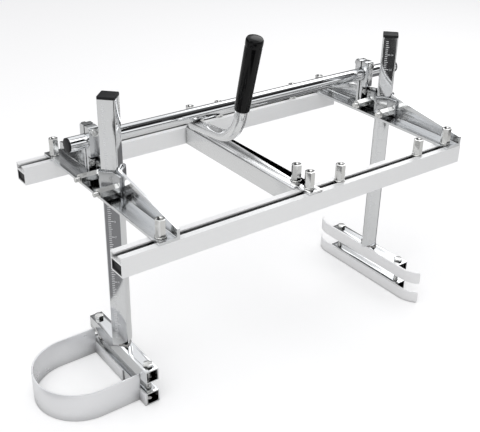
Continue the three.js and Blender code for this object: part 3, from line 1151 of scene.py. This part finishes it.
@dataclass
class EndBracket(EndPart):
    """An end bracket with its post clamp and the split clamp of the push tube.

    Places along X run from the bracket's left edge.
    """

    fastener: RailFastener = field(default_factory=RailFastener)
    long_bolt: ClampBolt = field(
        default_factory=lambda: ClampBolt(36.5, 5.5, tip=-14.5, nut=(-7.5, 22.5), washer_radius=8.0)
    )
    thickness: float = 4.0
    width: float = 30.5
    end_rise: float = 12.0
    peak_rise: float = 36.0
    notch: float = 18.478
    edge: float = 0.6
    fold_radius: float = 1.2
    hole_radius: float = 4.5
    saddle_tip: float = 18.102
    saddle_bend: float = 2.5
    saddle_edge: float = 0.5
    ear_reach: float = 34.478
    clamp_width: float = 15.5
    clamp_leg: float = 11.7
    clamp_slot: float = 2.5
    clamp_depth: float = 28.0
    clamp_below: float = 20.5
    clamp_corner: float = 4.0
    clamp_start: float = 14.5
    clamp_hole: float = 3.5
    leg_thickness: float = 5.0
    leg_lap: float = 2.0
    foot_reach: float = 26.0
    foot_thickness: float = 3.0
    bore_radius: float = 10.8
    bolt_head: float = 4.5
    bolt_tip: float = 5.0

    def __post_init__(self) -> None:
        """Reads where the CAD holds the bracket, the post and the push tube."""
        self.low, self.high = self.shop.span(self.node("bracket"))
        self.top = self.low.z + self.thickness
        self.inner = self.width - self.thickness
        self.post = self.shop.middle(self.node("post"))
        self.tube = self.shop.middle("push_tube")

    def build(self) -> None:
        """Models plate, saddles, tube clamp and every fastener on them."""
        add = self.shop.stand_in
        add(self.plate(), self.node("bracket"), POLISHED_PLATE)
        add(self.saddle("inner_saddle", self.inner, -1), self.node("inner_saddle"), SADDLE_PLATE)
        add(self.saddle("outer_saddle", self.width, 1), self.node("outer_saddle"), SADDLE_PLATE)
        for node, way in zip(self.pair("tube_clamp_{}"), (-1, 1)):
            add(self.tube_clamp(way), node, POLISHED_PLATE)
        nodes = self.pair("bracket_{}_fastener")
        self.shop.fasten(self.fastener.build(self.thickness), nodes, self.low.z)
        self.post_bolts()
        self.tube_bolts()

    def plate(self) -> Object:
        """Models the angle: a floor across both rails and an upright that peaks at the post."""
        x, y, floor = self.low
        end, rear, peak = x + self.width, self.high.y, self.top + self.peak_rise
        fold, over, post = x + self.inner, self.thickness, self.post
        upright = block((fold, y, floor), (end, rear, peak))
        rise = self.peak_rise - self.end_rise
        for edge, way in ((y, -1), (rear, 1)):
            run = abs(post.y + way * self.notch - edge)
            slice_off(upright, (x, edge, self.top + self.end_rise), (0, way * rise, run))
        plate = fuse(block((x, y, floor), (end, rear, self.top)), upright)
        round_edges(plate, on_line(x=fold, z=self.top), self.fold_radius, segments=3)
        half = self.notch / math.sqrt(2)
        passage = block(
            (post.x - half, post.y - half, floor - over),
            (post.x + half, post.y + half, self.top + over), turn=45,
        )
        opening = block(
            (fold - over, post.y - self.notch, self.top),
            (end + over, post.y + self.notch, peak + over),
        )
        drills = [
            drill(self.hole_radius, self.shop.middle(node), floor, self.top)
            for node in self.pair("bracket_{}_fastener")
        ]
        return ease(cut(plate, passage, opening, *drills, *self.bolt_drills()), self.edge)

    def bolt_drills(self) -> list[Object]:
        """Drills along X for the two post clamp bolts."""
        spots = [self.shop.middle(node) for node in self.pair("post_clamp_{}_bolt")]
        reach = Vector((self.width, 0, 0))
        return [rod(self.hole_radius, spot - reach, spot + reach, COARSE) for spot in spots]

    def saddle(self, part: str, face: float, way: int) -> Object:
        """Models a V plate: ears on the upright, legs on two faces of the post.

        Args:
            part: Its CAD node's name without the side.
            face: Place along X of the upright's face on which its ears lie.
            way: -1 for the plate that points to -X, 1 for the one that points to +X.

        Returns:
            The plate.
        """
        low, high = self.shop.span(self.node(part))
        flat, tip = self.low.x + face, self.post.x + way * self.saddle_tip
        inner, middle = abs(tip - flat), self.post.y
        points = [
            (flat, middle - self.ear_reach), (flat, middle - inner), (tip, middle),
            (flat, middle + inner), (flat, middle + self.ear_reach),
        ]
        plate = ribbon(points, low.z, high.z - low.z)
        bends = [upright_at(Vector((*point, 0))) for point in points[1:-1]]
        round_edges(plate, lambda a, b: any(bend(a, b) for bend in bends), self.saddle_bend, 5)
        thicken(plate, self.thickness, float(way))
        return ease(cut(plate, *self.bolt_drills()), self.saddle_edge)

    def tube_clamp(self, way: int) -> Object:
        """Models one half of the split clamp.

        Args:
            way: -1 for the front half, 1 for the rear half with its foot.

        Returns:
            The half.
        """
        low, high = self.shop.span(self.node("tube_clamp_front"))
        x, middle = self.low.x + self.clamp_start, self.tube.y
        near = middle + way * self.clamp_slot / 2
        far = middle + way * self.clamp_depth / 2
        bottom = self.tube.z - self.clamp_below

        def slab(last: float, width: float, floor: float, top: float) -> Object:
            """A box from the slot to a place along Y."""
            front, back = sorted((near, last))
            return block((x, front, floor), (x + width, back, top))

        half = slab(far, self.clamp_width, bottom, high.z)
        round_edges(half, on_line(y=far, z=high.z), self.clamp_corner)
        leg = near + way * self.leg_thickness
        fuse(half, slab(leg, self.clamp_leg, low.z, bottom + self.leg_lap))
        if way > 0:
            foot = middle + self.foot_reach
            fuse(half, slab(foot, self.clamp_leg, low.z, low.z + self.foot_thickness))
        start = Vector((x - OVERRUN, middle, self.tube.z))
        end = start + Vector((self.clamp_width + 2 * OVERRUN, 0, 0))
        drills = [rod(self.bore_radius, start, end, FINE)]
        reach = Vector((0, self.clamp_depth, 0))
        for place in ("upper", "lower"):
            spot = self.shop.middle(self.node(f"tube_clamp_{place}_bolt"))
            drills.append(rod(self.clamp_hole, spot - reach, spot + reach, COARSE))
        return ease(cut(half, *drills), self.saddle_edge)

    def post_bolts(self) -> None:
        """Settles the two long bolts that squeeze the saddles, with their long nuts."""
        turn = Matrix.Rotation(math.radians(90), 4, "Y")
        for node in self.pair("post_clamp_{}_bolt"):
            spot = self.shop.middle(node)
            place = Matrix.Translation((self.low.x, spot.y, spot.z))
            self.shop.stand_in(turned(self.long_bolt.build(), place @ turn), node, ZINC)

    def tube_bolts(self) -> None:
        """Settles the two bolts through the split clamp."""
        turn = Matrix.Rotation(math.radians(-90), 4, "X")
        reaches = {"upper": self.clamp_depth / 2, "lower": self.clamp_slot / 2 + self.leg_thickness}
        for level, reach in reaches.items():
            node = self.node(f"tube_clamp_{level}_bolt")
            spot = self.shop.middle(node)
            nut = (-reach - self.bolt_head, -reach)
            tip = -reach - self.bolt_tip
            bolt = ClampBolt(reach, self.bolt_head, tip, nut, across=10, thread=2.95, pitch=1)
            place = Matrix.Translation((spot.x, self.tube.y, spot.z))
            self.shop.stand_in(turned(bolt.build(), place @ turn), node, ZINC)


@dataclass
class DepthPost(EndPart):
    """A post with its scale and cap, and the two jaws that hold the guide bar at its foot."""

    width: float = 25.0
    wall: float = 2.0
    corner: float = 2.0
    inner_corner: float = 0.6
    cap_height: float = 4.0
    cap_plug: float = 12.0
    cap_edge: float = 0.9
    fit: float = 0.3
    jaw: float = 22.0
    jaw_wall: float = 2.0
    jaw_corner: float = 0.9
    jaw_bore_corner: float = 0.4
    jaw_edge: float = 0.3
    jaw_gap: float = 18.0
    hole_radius: float = 4.5
    nut_across: float = 13.0
    nut_height: float = 5.0
    nut_lap: float = 0.4
    bolt_head: float = 5.5
    bolt_below: float = 8.0
    weld_sink: float = 0.6
    weld_radius: float = 1.7
    weld_spacing: float = 2.1
    inch: float = 25.4
    figure_height: float = 3.4
    figure_share: float = 1.4
    figure_shift: float = 2.2
    figure_depth: float = 0.03
    scale_start: float = 14.0
    scale_end: float = 6.0
    figures_end: float = 8.0

    def __post_init__(self) -> None:
        """Reads where the CAD holds the post and its jaws."""
        self.low, self.high = self.shop.span(self.node("post"))
        self.axis = (self.low + self.high) / 2
        self.half = self.width / 2

    def build(self) -> None:
        """Models post, scale, cap, jaws and bolts."""
        post, zero = self.node("post"), self.low.z + self.scale_start
        ruled = EtchedScale(CHROME).material(
            self.node("ruled_chrome"), self.axis, zero, self.high.z - self.scale_end
        )
        self.shop.stand_in(self.post(), post, ruled)
        self.shop.add(self.figures(zero), f"{post}_figures", post, ETCHING)
        self.shop.stand_in(self.cap(), f"{post}_cap", BLACK_PLASTIC)
        for part in ("upper_jaw", "lower_jaw"):
            self.shop.stand_in(self.jaw_tube(part), self.node(part), JAW_CHROME)
        self.shop.add(self.welds(), f"{post}_weld", post, WELD)
        tip = self.low.z - self.jaw - self.jaw_gap - self.bolt_below
        bolt = ClampBolt(seat=self.low.z, head=self.bolt_head, tip=tip)
        self.shop.fasten(bolt.build(), self.pair("jaw_{}_bolt"), 0.0)

    def square_bar(self, half: float, floor: float, top: float, corner: float) -> Object:
        """A square bar on the post's axis, an edge toward each end of the mill."""
        x, y, _ = self.axis
        bar = block((x - half, y - half, floor), (x + half, y + half, top), turn=45)
        return round_edges(bar, is_upright, corner)

    def post(self) -> Object:
        """Models the post as a tube with rounded corners."""
        inner = self.half - self.wall, self.low.z - OVERRUN, self.high.z + OVERRUN
        outer = self.square_bar(self.half, self.low.z, self.high.z, self.corner)
        return cut(outer, self.square_bar(*inner, self.inner_corner))

    def cap(self) -> Object:
        """Models the end cap: a lid with eased rims and a plug inside the post."""
        top, inner = self.high.z, self.half - self.wall - self.fit
        lid = self.square_bar(self.half, top, top + self.cap_height, self.corner)
        stem = self.square_bar(inner, top - self.cap_plug, top + OVERRUN, self.inner_corner)
        return fuse(ease(lid, self.cap_edge, 3), stem)

    def jaw_tube(self, part: str) -> Object:
        """Models a jaw: a square tube with open ends, drilled for both bolts.

        Args:
            part: upper_jaw or lower_jaw, which also holds a welded nut under each bolt.

        Returns:
            The jaw.
        """
        low, high = self.shop.span(self.node(part))
        wall, roof = Vector((self.jaw_wall, -OVERRUN, self.jaw_wall)), high.z - self.jaw_wall
        tube = round_edges(block(low, high), runs_along_y, self.jaw_corner)
        bore = round_edges(block(low + wall, high - wall), runs_along_y, self.jaw_bore_corner)
        ease(cut(tube, bore), self.jaw_edge)
        for bolt in self.pair("jaw_{}_bolt"):
            spot = self.shop.middle(bolt)
            if part == "lower_jaw":
                nut = hexagon(self.nut_across, roof - self.nut_height, roof + self.nut_lap)
                fuse(tube, turned(nut, Matrix.Translation((spot.x, spot.y, 0))))
            cut(tube, drill(self.hole_radius, spot, low.z, high.z))
        return tube

    def welds(self) -> Object:
        """Models the weld beads where the post stands on the upper jaw."""
        half = self.jaw / 2 - self.weld_sink
        tip, level = self.width / math.sqrt(2), self.low.z + self.weld_sink
        runs = []
        for way in (-1, 1):
            path = [
                (self.axis.x + across, self.axis.y + way * (tip - abs(across)), level)
                for across in (-half, 0, half)
            ]
            runs.append(bead(path, self.weld_radius, self.weld_spacing))
        return gather(*runs)

    def figures(self, zero: float) -> Object:
        """Models the scale's figures as thin etched shapes on the post's face.

        Args:
            zero: Level of the scale's zero mark.

        Returns:
            All figures in one object.
        """
        across = Vector((1, -1, 0)).normalized()
        outward = Vector((-1, -1, 0)).normalized()
        frame = Matrix((across, Vector((0, 0, 1)), outward)).transposed().to_4x4()
        spot = self.axis + outward * self.half + across * self.figure_shift
        digits: list[Object] = []
        for number in range(1, int((self.high.z - self.figures_end - zero) / self.inch) + 1):
            text = added(bpy.ops.object.text_add)
            text.data.body = str(number)
            text.data.size = self.figure_height * self.figure_share
            text.data.extrude = self.figure_depth
            text.data.resolution_u = 3
            activate(text)
            bpy.ops.object.convert(target="MESH")
            spot.z = zero + number * self.inch - self.figure_height / 2
            digits.append(turned(bpy.context.object, Matrix.Translation(spot) @ frame))
        return gather(*digits)


@dataclass
class NoseGuard:
    """The hoop round the guide bar's nose, with its two tabs on the left lower jaw."""

    shop: Workshop
    thickness: float = 2.5
    radius: float = 72.0
    reach: float = 62.0
    far_tab: float = 92.0
    lap: float = 0.5
    edge: float = 0.5
    steps: int = 56

    def build(self) -> None:
        """Models hoop and tabs."""
        low, high = self.shop.span("nose_guard")
        jaw_low, jaw_high = self.shop.span("left_lower_jaw")
        front, rear = high.y - 2 * self.radius, high.y
        middle, face = high.y - self.radius, jaw_low.x
        start = face - self.lap
        line, turn = self.radius - self.thickness / 2, start - self.reach
        hoop = ribbon([(start, middle - line), (turn, middle - line)], low.z, high.z - low.z)
        with editing(hoop):
            pick_edges(hoop, upright_at(Vector((turn, middle - line, 0))))
            bpy.ops.mesh.spin(
                steps=self.steps, angle=math.pi, center=(turn, middle, low.z), axis=(0, 0, 1)
            )
            pick_edges(hoop, upright_at(Vector((turn, middle + line, 0)), reach=0.1))
            extrude((self.reach, 0, 0))
        ease(thicken(hoop, self.thickness, 0.0), self.edge)
        tabs = [(rear - self.far_tab, rear), (jaw_low.y, front + self.thickness)]
        for first, last in tabs:
            tab = block((face - self.thickness, first, low.z), (face, last, jaw_high.z))
            fuse(hoop, ease(tab, self.edge))
        self.shop.stand_in(hoop, "nose_guard", GALVANISED)


@dataclass
class RubStrips:
    """The two ski-shaped strips on the right jaws, which slide along the timber."""

    shop: Workshop
    thickness: float = 3.0
    sweep_radius: float = 42.0
    sweep_angle: float = 50.0
    steps: int = 14
    tip_corner: float = 6.0
    edge: float = 0.5

    def build(self) -> None:
        """Models both strips."""
        for level in ("upper", "lower"):
            node = f"right_{level}_rub_strip"
            self.shop.stand_in(self.strip(node), node, STRIP_STEEL)

    def strip(self, node: str) -> Object:
        """Models a strip: flat along the jaw, both ends swept back toward +X.

        Args:
            node: The strip's CAD node.

        Returns:
            The strip.
        """
        low, high = self.shop.span(node)
        middle = (low.y + high.y) / 2
        angle = math.radians(self.sweep_angle)
        half = (high.y - low.y) / 2 - self.sweep_radius * math.sin(angle)
        line = low.x + self.thickness / 2
        hub = low.x + self.sweep_radius
        strip = ribbon([(line, middle - half), (line, middle + half)], low.z, high.z - low.z)
        for way in (-1, 1):
            end = Vector((line, middle + way * half, 0))
            with editing(strip):
                pick_edges(strip, upright_at(end))
                bpy.ops.mesh.spin(
                    steps=self.steps, angle=angle, center=(hub, end.y, low.z), axis=(0, 0, way)
                )
        reach = max(abs(vertex.co.y - middle) for vertex in strip.data.vertices) - CLOSE
        with editing(strip) as mesh:
            bpy.ops.mesh.select_mode(type="VERT")
            for vertex in mesh.verts:
                vertex.select_set(abs(vertex.co.y - middle) > reach)
            bpy.ops.mesh.bevel(offset=self.tip_corner, segments=5, affect="VERTICES")
        return ease(thicken(strip, self.thickness, 0.0), self.edge)


@dataclass
class PushHandle:
    """The push tube with its caps, the bent arm under it and the grip.

    The grip's profile is pairs of a radius and a level above its foot.
    """

    shop: Workshop
    wall: float = 1.8
    edge: float = 0.3
    cap_height: float = 3.0
    cap_plug: float = 10.0
    cap_edge: float = 0.9
    fit: float = 0.3
    arm_radius: float = 9.0
    arm_wall: float = 2.0
    arm_sink: float = 1.0
    arm_tail: float = 8.0
    corner_reach: float = 102.7
    bend_radius: float = 56.0
    rise: float = 6.4
    lean: float = 13.6
    weld_length: float = 4.6
    weld_width: float = 5.2
    weld_sink: float = 0.3
    weld_corners: int = 12
    weld_radius: float = 1.5
    weld_spacing: float = 1.6
    grip_start: float = 52.0
    grip_bore: float = 90.0
    grip_gap: float = 0.5
    bend_steps: int = 28
    profile: tuple[tuple[float, float], ...] = (
        (10.6, 0.0), (11.0, 0.5), (11.1, 2.0), (11.6, 52.0), (12.1, 97.0), (11.8, 98.8),
        (11.8, 99.8), (12.3, 101.4), (12.3, 107.0), (12.0, 109.0), (11.0, 110.6), (9.0, 111.4),
        (5.0, 111.9), (2.0, 112.0),
    )

    def __post_init__(self) -> None:
        """Reads where the CAD holds the tube and works out the arm's middle line."""
        self.low, self.high = self.shop.span("push_tube")
        self.tube = (self.low + self.high) / 2
        self.radius = (self.high.z - self.low.z) / 2
        tilt, self.slope = math.radians(self.lean), math.radians(self.rise)
        self.up = Vector((0, -math.sin(tilt), math.cos(tilt)))
        self.along = Vector((0, -math.cos(self.slope), math.sin(self.slope)))
        at = self.shop.middle("handle_arm").x
        level = self.tube.z - self.radius - self.arm_radius + self.arm_sink
        self.root = Vector((at, self.tube.y, level))
        self.elbow = self.root + self.along * self.corner_reach
        self.bend = math.pi / 2 - tilt - self.slope

    def build(self) -> None:
        """Models tube, caps, arm, weld and grip."""
        self.shop.stand_in(self.push_tube(), "push_tube", CHROME)
        for side, way in (("left", -1), ("right", 1)):
            self.shop.stand_in(self.cap(way), f"push_tube_{side}_cap", BLACK_PLASTIC)
        self.shop.stand_in(self.arm(), "handle_arm", ARM_CHROME)
        self.shop.add(self.weld(), "handle_arm_weld", "handle_arm", WELD)
        self.shop.stand_in(self.grip(), "grip", GLOSSY_GRIP)

    def bar(self, radius: float, start: float, end: float, sides: int = FINEST) -> Object:
        """A round bar on the push tube's axis, between two places along X."""
        return rod(radius, (start, *self.tube.yz), (end, *self.tube.yz), sides)

    def push_tube(self) -> Object:
        """Models the long tube."""
        low, high = self.low.x, self.high.x
        bore = self.bar(self.radius - self.wall, low - OVERRUN, high + OVERRUN, FINE)
        return ease(cut(self.bar(self.radius, low, high), bore), self.edge)

    def cap(self, way: int) -> Object:
        """Models an end cap.

        Args:
            way: -1 for the left end, 1 for the right end.

        Returns:
            The cap.
        """
        face, inner = self.low.x if way < 0 else self.high.x, self.radius - self.wall - self.fit
        lid = ease(self.bar(self.radius, face, face + way * self.cap_height), self.cap_edge, 3)
        return fuse(lid, self.bar(inner, face + way * OVERRUN, face - way * self.cap_plug, FINE))

    def arm(self) -> Object:
        """Models the bent arm: straight under the tube, through the bend and up to the grip."""
        tangent = self.bend_radius * math.tan(self.bend / 2)
        start = self.root - self.along * self.arm_tail
        bend_start = self.elbow - self.along * tangent
        across = Vector((0, math.sin(self.slope), math.cos(self.slope)))
        centre = bend_start + across * self.bend_radius
        straight = self.grip_start + self.grip_bore - self.grip_gap - tangent
        arm = freeze(
            added(
                bpy.ops.mesh.primitive_circle_add, vertices=ROUND, radius=self.arm_radius,
                location=start, rotation=(math.pi / 2 - self.slope, 0, 0),
            )
        )
        with editing(arm):
            bpy.ops.mesh.select_all(action="SELECT")
            extrude(bend_start - start)
            bpy.ops.mesh.spin(steps=self.bend_steps, angle=self.bend, center=centre, axis=(1, 0, 0))
            extrude(self.up * straight)
        thicken(tidy_normals(arm), self.arm_wall, -1.0)
        near, far = self.elbow.x - 2 * self.arm_radius, self.elbow.x + 2 * self.arm_radius
        around = self.bar(self.radius + self.fit, near, far)
        return ease(cut(arm, around), self.edge)

    def weld(self) -> Object:
        """Models the weld ring where the arm's top meets the push tube."""
        ring = []
        for index in range(self.weld_corners + 1):
            turn = math.tau * index / self.weld_corners
            x, y = self.weld_length * math.cos(turn), self.weld_width * math.sin(turn)
            drop = math.sqrt(self.radius**2 - y**2) + self.weld_sink
            ring.append((self.elbow.x + x, self.tube.y + y, self.tube.z - drop))
        return bead(ring, self.weld_radius, self.weld_spacing)

    def grip(self) -> Object:
        """Models the grip: widening upward, with a rim near its domed top, on the arm's line."""
        foot = self.profile[0][0]
        grip = added(
            bpy.ops.mesh.primitive_circle_add, vertices=FINE, radius=foot, fill_type="NGON"
        )
        with editing(grip):
            bpy.ops.mesh.select_all(action="SELECT")
            for (radius, level), (wider, higher) in zip(self.profile, self.profile[1:]):
                extrude((0, 0, higher - level))
                share = wider / radius
                bpy.ops.transform.resize(value=(share, share, 1), center_override=(0, 0, higher))
        bore = rod(self.arm_radius + self.fit, (0, 0, -OVERRUN), (0, 0, self.grip_bore))
        aim = self.up.to_track_quat("Z", "Y").to_matrix().to_4x4()
        place = Matrix.Translation(self.elbow + self.up * self.grip_start)
        return turned(cut(tidy_normals(grip), bore), place @ aim)


# The studio


@dataclass
class Studio:
    """A pale floor, soft lamps, a bright world and the camera that took the picture.

    Chrome shows its surroundings, so the world that it mirrors has a bright wall, a dark gap and a
    bright ceiling, and flags lie on the floor where only mirrored rays see them. The room's walls
    are pairs of an angle around the mill's long axis and a brightness, from the floor in front,
    over the ceiling, to the floor behind.
    """

    camera_place: tuple[float, float, float] = (-702.55, -928.26, 842.53)
    yaw: float = 36.932
    pitch: float = 28.311
    roll: float = -1.195
    lens: float = 61.9
    sensor: float = 36.0
    sight: float = 60.0
    floor_size: float = 14.0
    floor_place: tuple[float, float, float] = (0.0, 2.0, -0.0004)
    floor_tint: Color = (0.9, 0.9, 0.9)
    mirrored_floor: Color = (0.74, 0.74, 0.73)
    glow: float = 0.22
    flag_level: float = 0.0002
    flag_tint: Color = (1.0, 1.0, 1.02)
    wall_tint: Color = (0.985, 0.995, 1.01)
    ambient: Color = (0.62, 0.62, 0.63)
    white: Color = (1.0, 1.0, 1.0)
    aim: tuple[float, float, float] = (0.0, 0.0, 0.25)
    walls: tuple[tuple[float, float], ...] = (
        (0, 0.06), (4, 0.06), (7, 1.0), (24, 1.05), (30, 0.02), (57, 0.015), (63, 0.08),
        (88, 0.1), (96, 0.85), (110, 1.0), (141, 0.95), (150, 0.3), (163, 0.12), (180, 0.1),
    )

    def build(self) -> None:
        """Makes floor, flags, world, lamps and camera."""
        self.floor()
        self.flag("camera_flag", (-0.62, -1.02), (0.95, 0.8), 0.02)
        self.flag("left_flag", (-0.66, -0.2), (0.42, 0.5), 0.22)
        self.flag("right_flag", (1.28, -0.92), (0.62, 0.5), 0.02)
        self.flag("rear_flag", (0.72, 0.1), (0.8, 1.0), 0.15)
        self.world()
        self.lamp("key", (-0.9, -0.6, 2.3), 1.9, 20.0)
        self.lamp("fill", (1.6, 0.7, 1.9), 1.6, 10.0)
        self.camera()
        bpy.context.scene.view_settings.view_transform = "Standard"

    def sheet(self, name: str, size: Point, place: Point, shader: Shader) -> Object:
        """Lays a level sheet.

        Args:
            name: The sheet's name.
            size: Its sides in metres.
            place: Its middle in metres.
            shader: The shader of its material.

        Returns:
            The sheet.
        """
        sheet = added(bpy.ops.mesh.primitive_plane_add, size=1, location=place)
        sheet.scale = (*size, 1)
        freeze(sheet)
        sheet.name = name
        sheet.data.materials.append(shader.owner)
        return sheet

    def floor(self) -> None:
        """Lays the white floor on which the mill stands, painted a shade greyer where metal mirrors
        it: a painted reflection.
        """
        shader = Shader("white_floor")
        path = shader.node("LightPath").outputs
        # Painted reflection: glossy rays see the floor greyer than every other ray does.
        seen, mirrored = opaque(self.floor_tint), opaque(self.mirrored_floor)
        shader.feed(
            shader.surface,
            {
                "Base Color": shader.blend(path["Is Glossy Ray"], seen, mirrored),
                "Roughness": 0.9, "Specular IOR Level": 0.0, "Emission Color": opaque(self.white),
                "Emission Strength": shader.math("MULTIPLY", path["Is Camera Ray"], self.glow),
            },
        )
        size = (self.floor_size, self.floor_size)
        floor = self.sheet("floor", size, self.floor_place, shader)

    def flag(
        self, name: str, middle: tuple[float, float], size: tuple[float, float], level: float
    ) -> None:
        """Lays a dark flag on the floor, which only mirrored rays see: a painted dark reflection.

        Args:
            name: The flag's name.
            middle: Its middle on the floor, in metres.
            size: Its sides in metres.
            level: Its brightness.
        """
        shader = Shader(name)
        tint = opaque(self.flag_tint, level)
        shader.feed(shader.surface, {"Base Color": tint, "Roughness": 1.0})
        flag = self.sheet(name, size, (*middle, self.flag_level), shader)
        # Hidden from every ray but the mirrored ones, so the flag only paints a dark reflection.
        for ray in ("camera", "diffuse", "transmission", "volume_scatter", "shadow"):
            setattr(flag, f"visible_{ray}", False)

    def world(self) -> None:
        """Lights the room: white to the camera, with walls and gaps for what metal mirrors."""
        shader = Shader("studio", world=True)
        path = shader.node("LightPath").outputs
        _, depth, height = shader.node(
            "SeparateXYZ", {0: shader.node("TexCoord").outputs["Generated"]}
        ).outputs
        angle = shader.math("ARCTAN2", height, shader.math("MULTIPLY", depth, -1.0))
        ramp = shader.node("ValToRGB", {0: shader.spread(angle, (0.0, math.pi), (0.0, 1.0))})
        elements = ramp.color_ramp.elements
        for _ in self.walls[2:]:
            elements.new(0.5)
        for element, (degrees, level) in zip(elements, self.walls):
            element.position = degrees / 180
            element.color = opaque(self.wall_tint, level)
        room = shader.blend(path["Is Glossy Ray"], opaque(self.ambient), ramp.outputs[0])
        shown = shader.blend(path["Is Camera Ray"], room, opaque(self.white))
        shader.feed(shader.surface, {"Color": shown})
        bpy.context.scene.world = shader.owner

    def lamp(self, name: str, place: Point, size: float, power: float) -> None:
        """Hangs a soft box that faces the mill.

        Args:
            name: The lamp's name.
            place: Its place in metres.
            size: Its side in metres.
            power: Its power in watts.
        """
        lamp = added(bpy.ops.object.light_add, type="AREA", location=place)
        lamp.name = name
        lamp.data.size = size
        lamp.data.energy = power
        aim = Vector(self.aim) - Vector(place)
        lamp.rotation_euler = aim.to_track_quat("-Z", "Y").to_euler()

    def camera(self) -> None:
        """Places the camera at the photograph's viewpoint."""
        yaw, pitch, roll = (math.radians(a) for a in (self.yaw, self.pitch, self.roll))
        ahead = Vector(
            (math.sin(yaw) * math.cos(pitch), math.cos(yaw) * math.cos(pitch), -math.sin(pitch))
        )
        right = ahead.cross(Vector((0, 0, 1))).normalized()
        across = right * math.cos(roll) + ahead.cross(right) * math.sin(roll)
        camera = added(bpy.ops.object.camera_add)
        camera.name = "camera"
        camera.data.lens = self.lens
        camera.data.sensor_width = self.sensor
        camera.data.clip_end = self.sight
        frame = Matrix((across, across.cross(ahead), -ahead)).transposed().to_4x4()
        camera.matrix_world = Matrix.Translation(Vector(self.camera_place) * MM) @ frame
        bpy.context.scene.camera = camera


def main() -> None:
    """Builds and dresses the whole mill."""
    logging.basicConfig(level=logging.INFO, format="%(message)s")
    shop = Workshop(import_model())
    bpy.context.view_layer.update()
    RailFrame(shop).build()
    Brace(shop).build()
    for side in Side:
        EndBracket(shop, side).build()
        DepthPost(shop, side).build()
    NoseGuard(shop).build()
    RubStrips(shop).build()
    PushHandle(shop).build()
    Studio().build()
    bpy.context.view_layer.update()


if __name__ == "__main__":
    main()
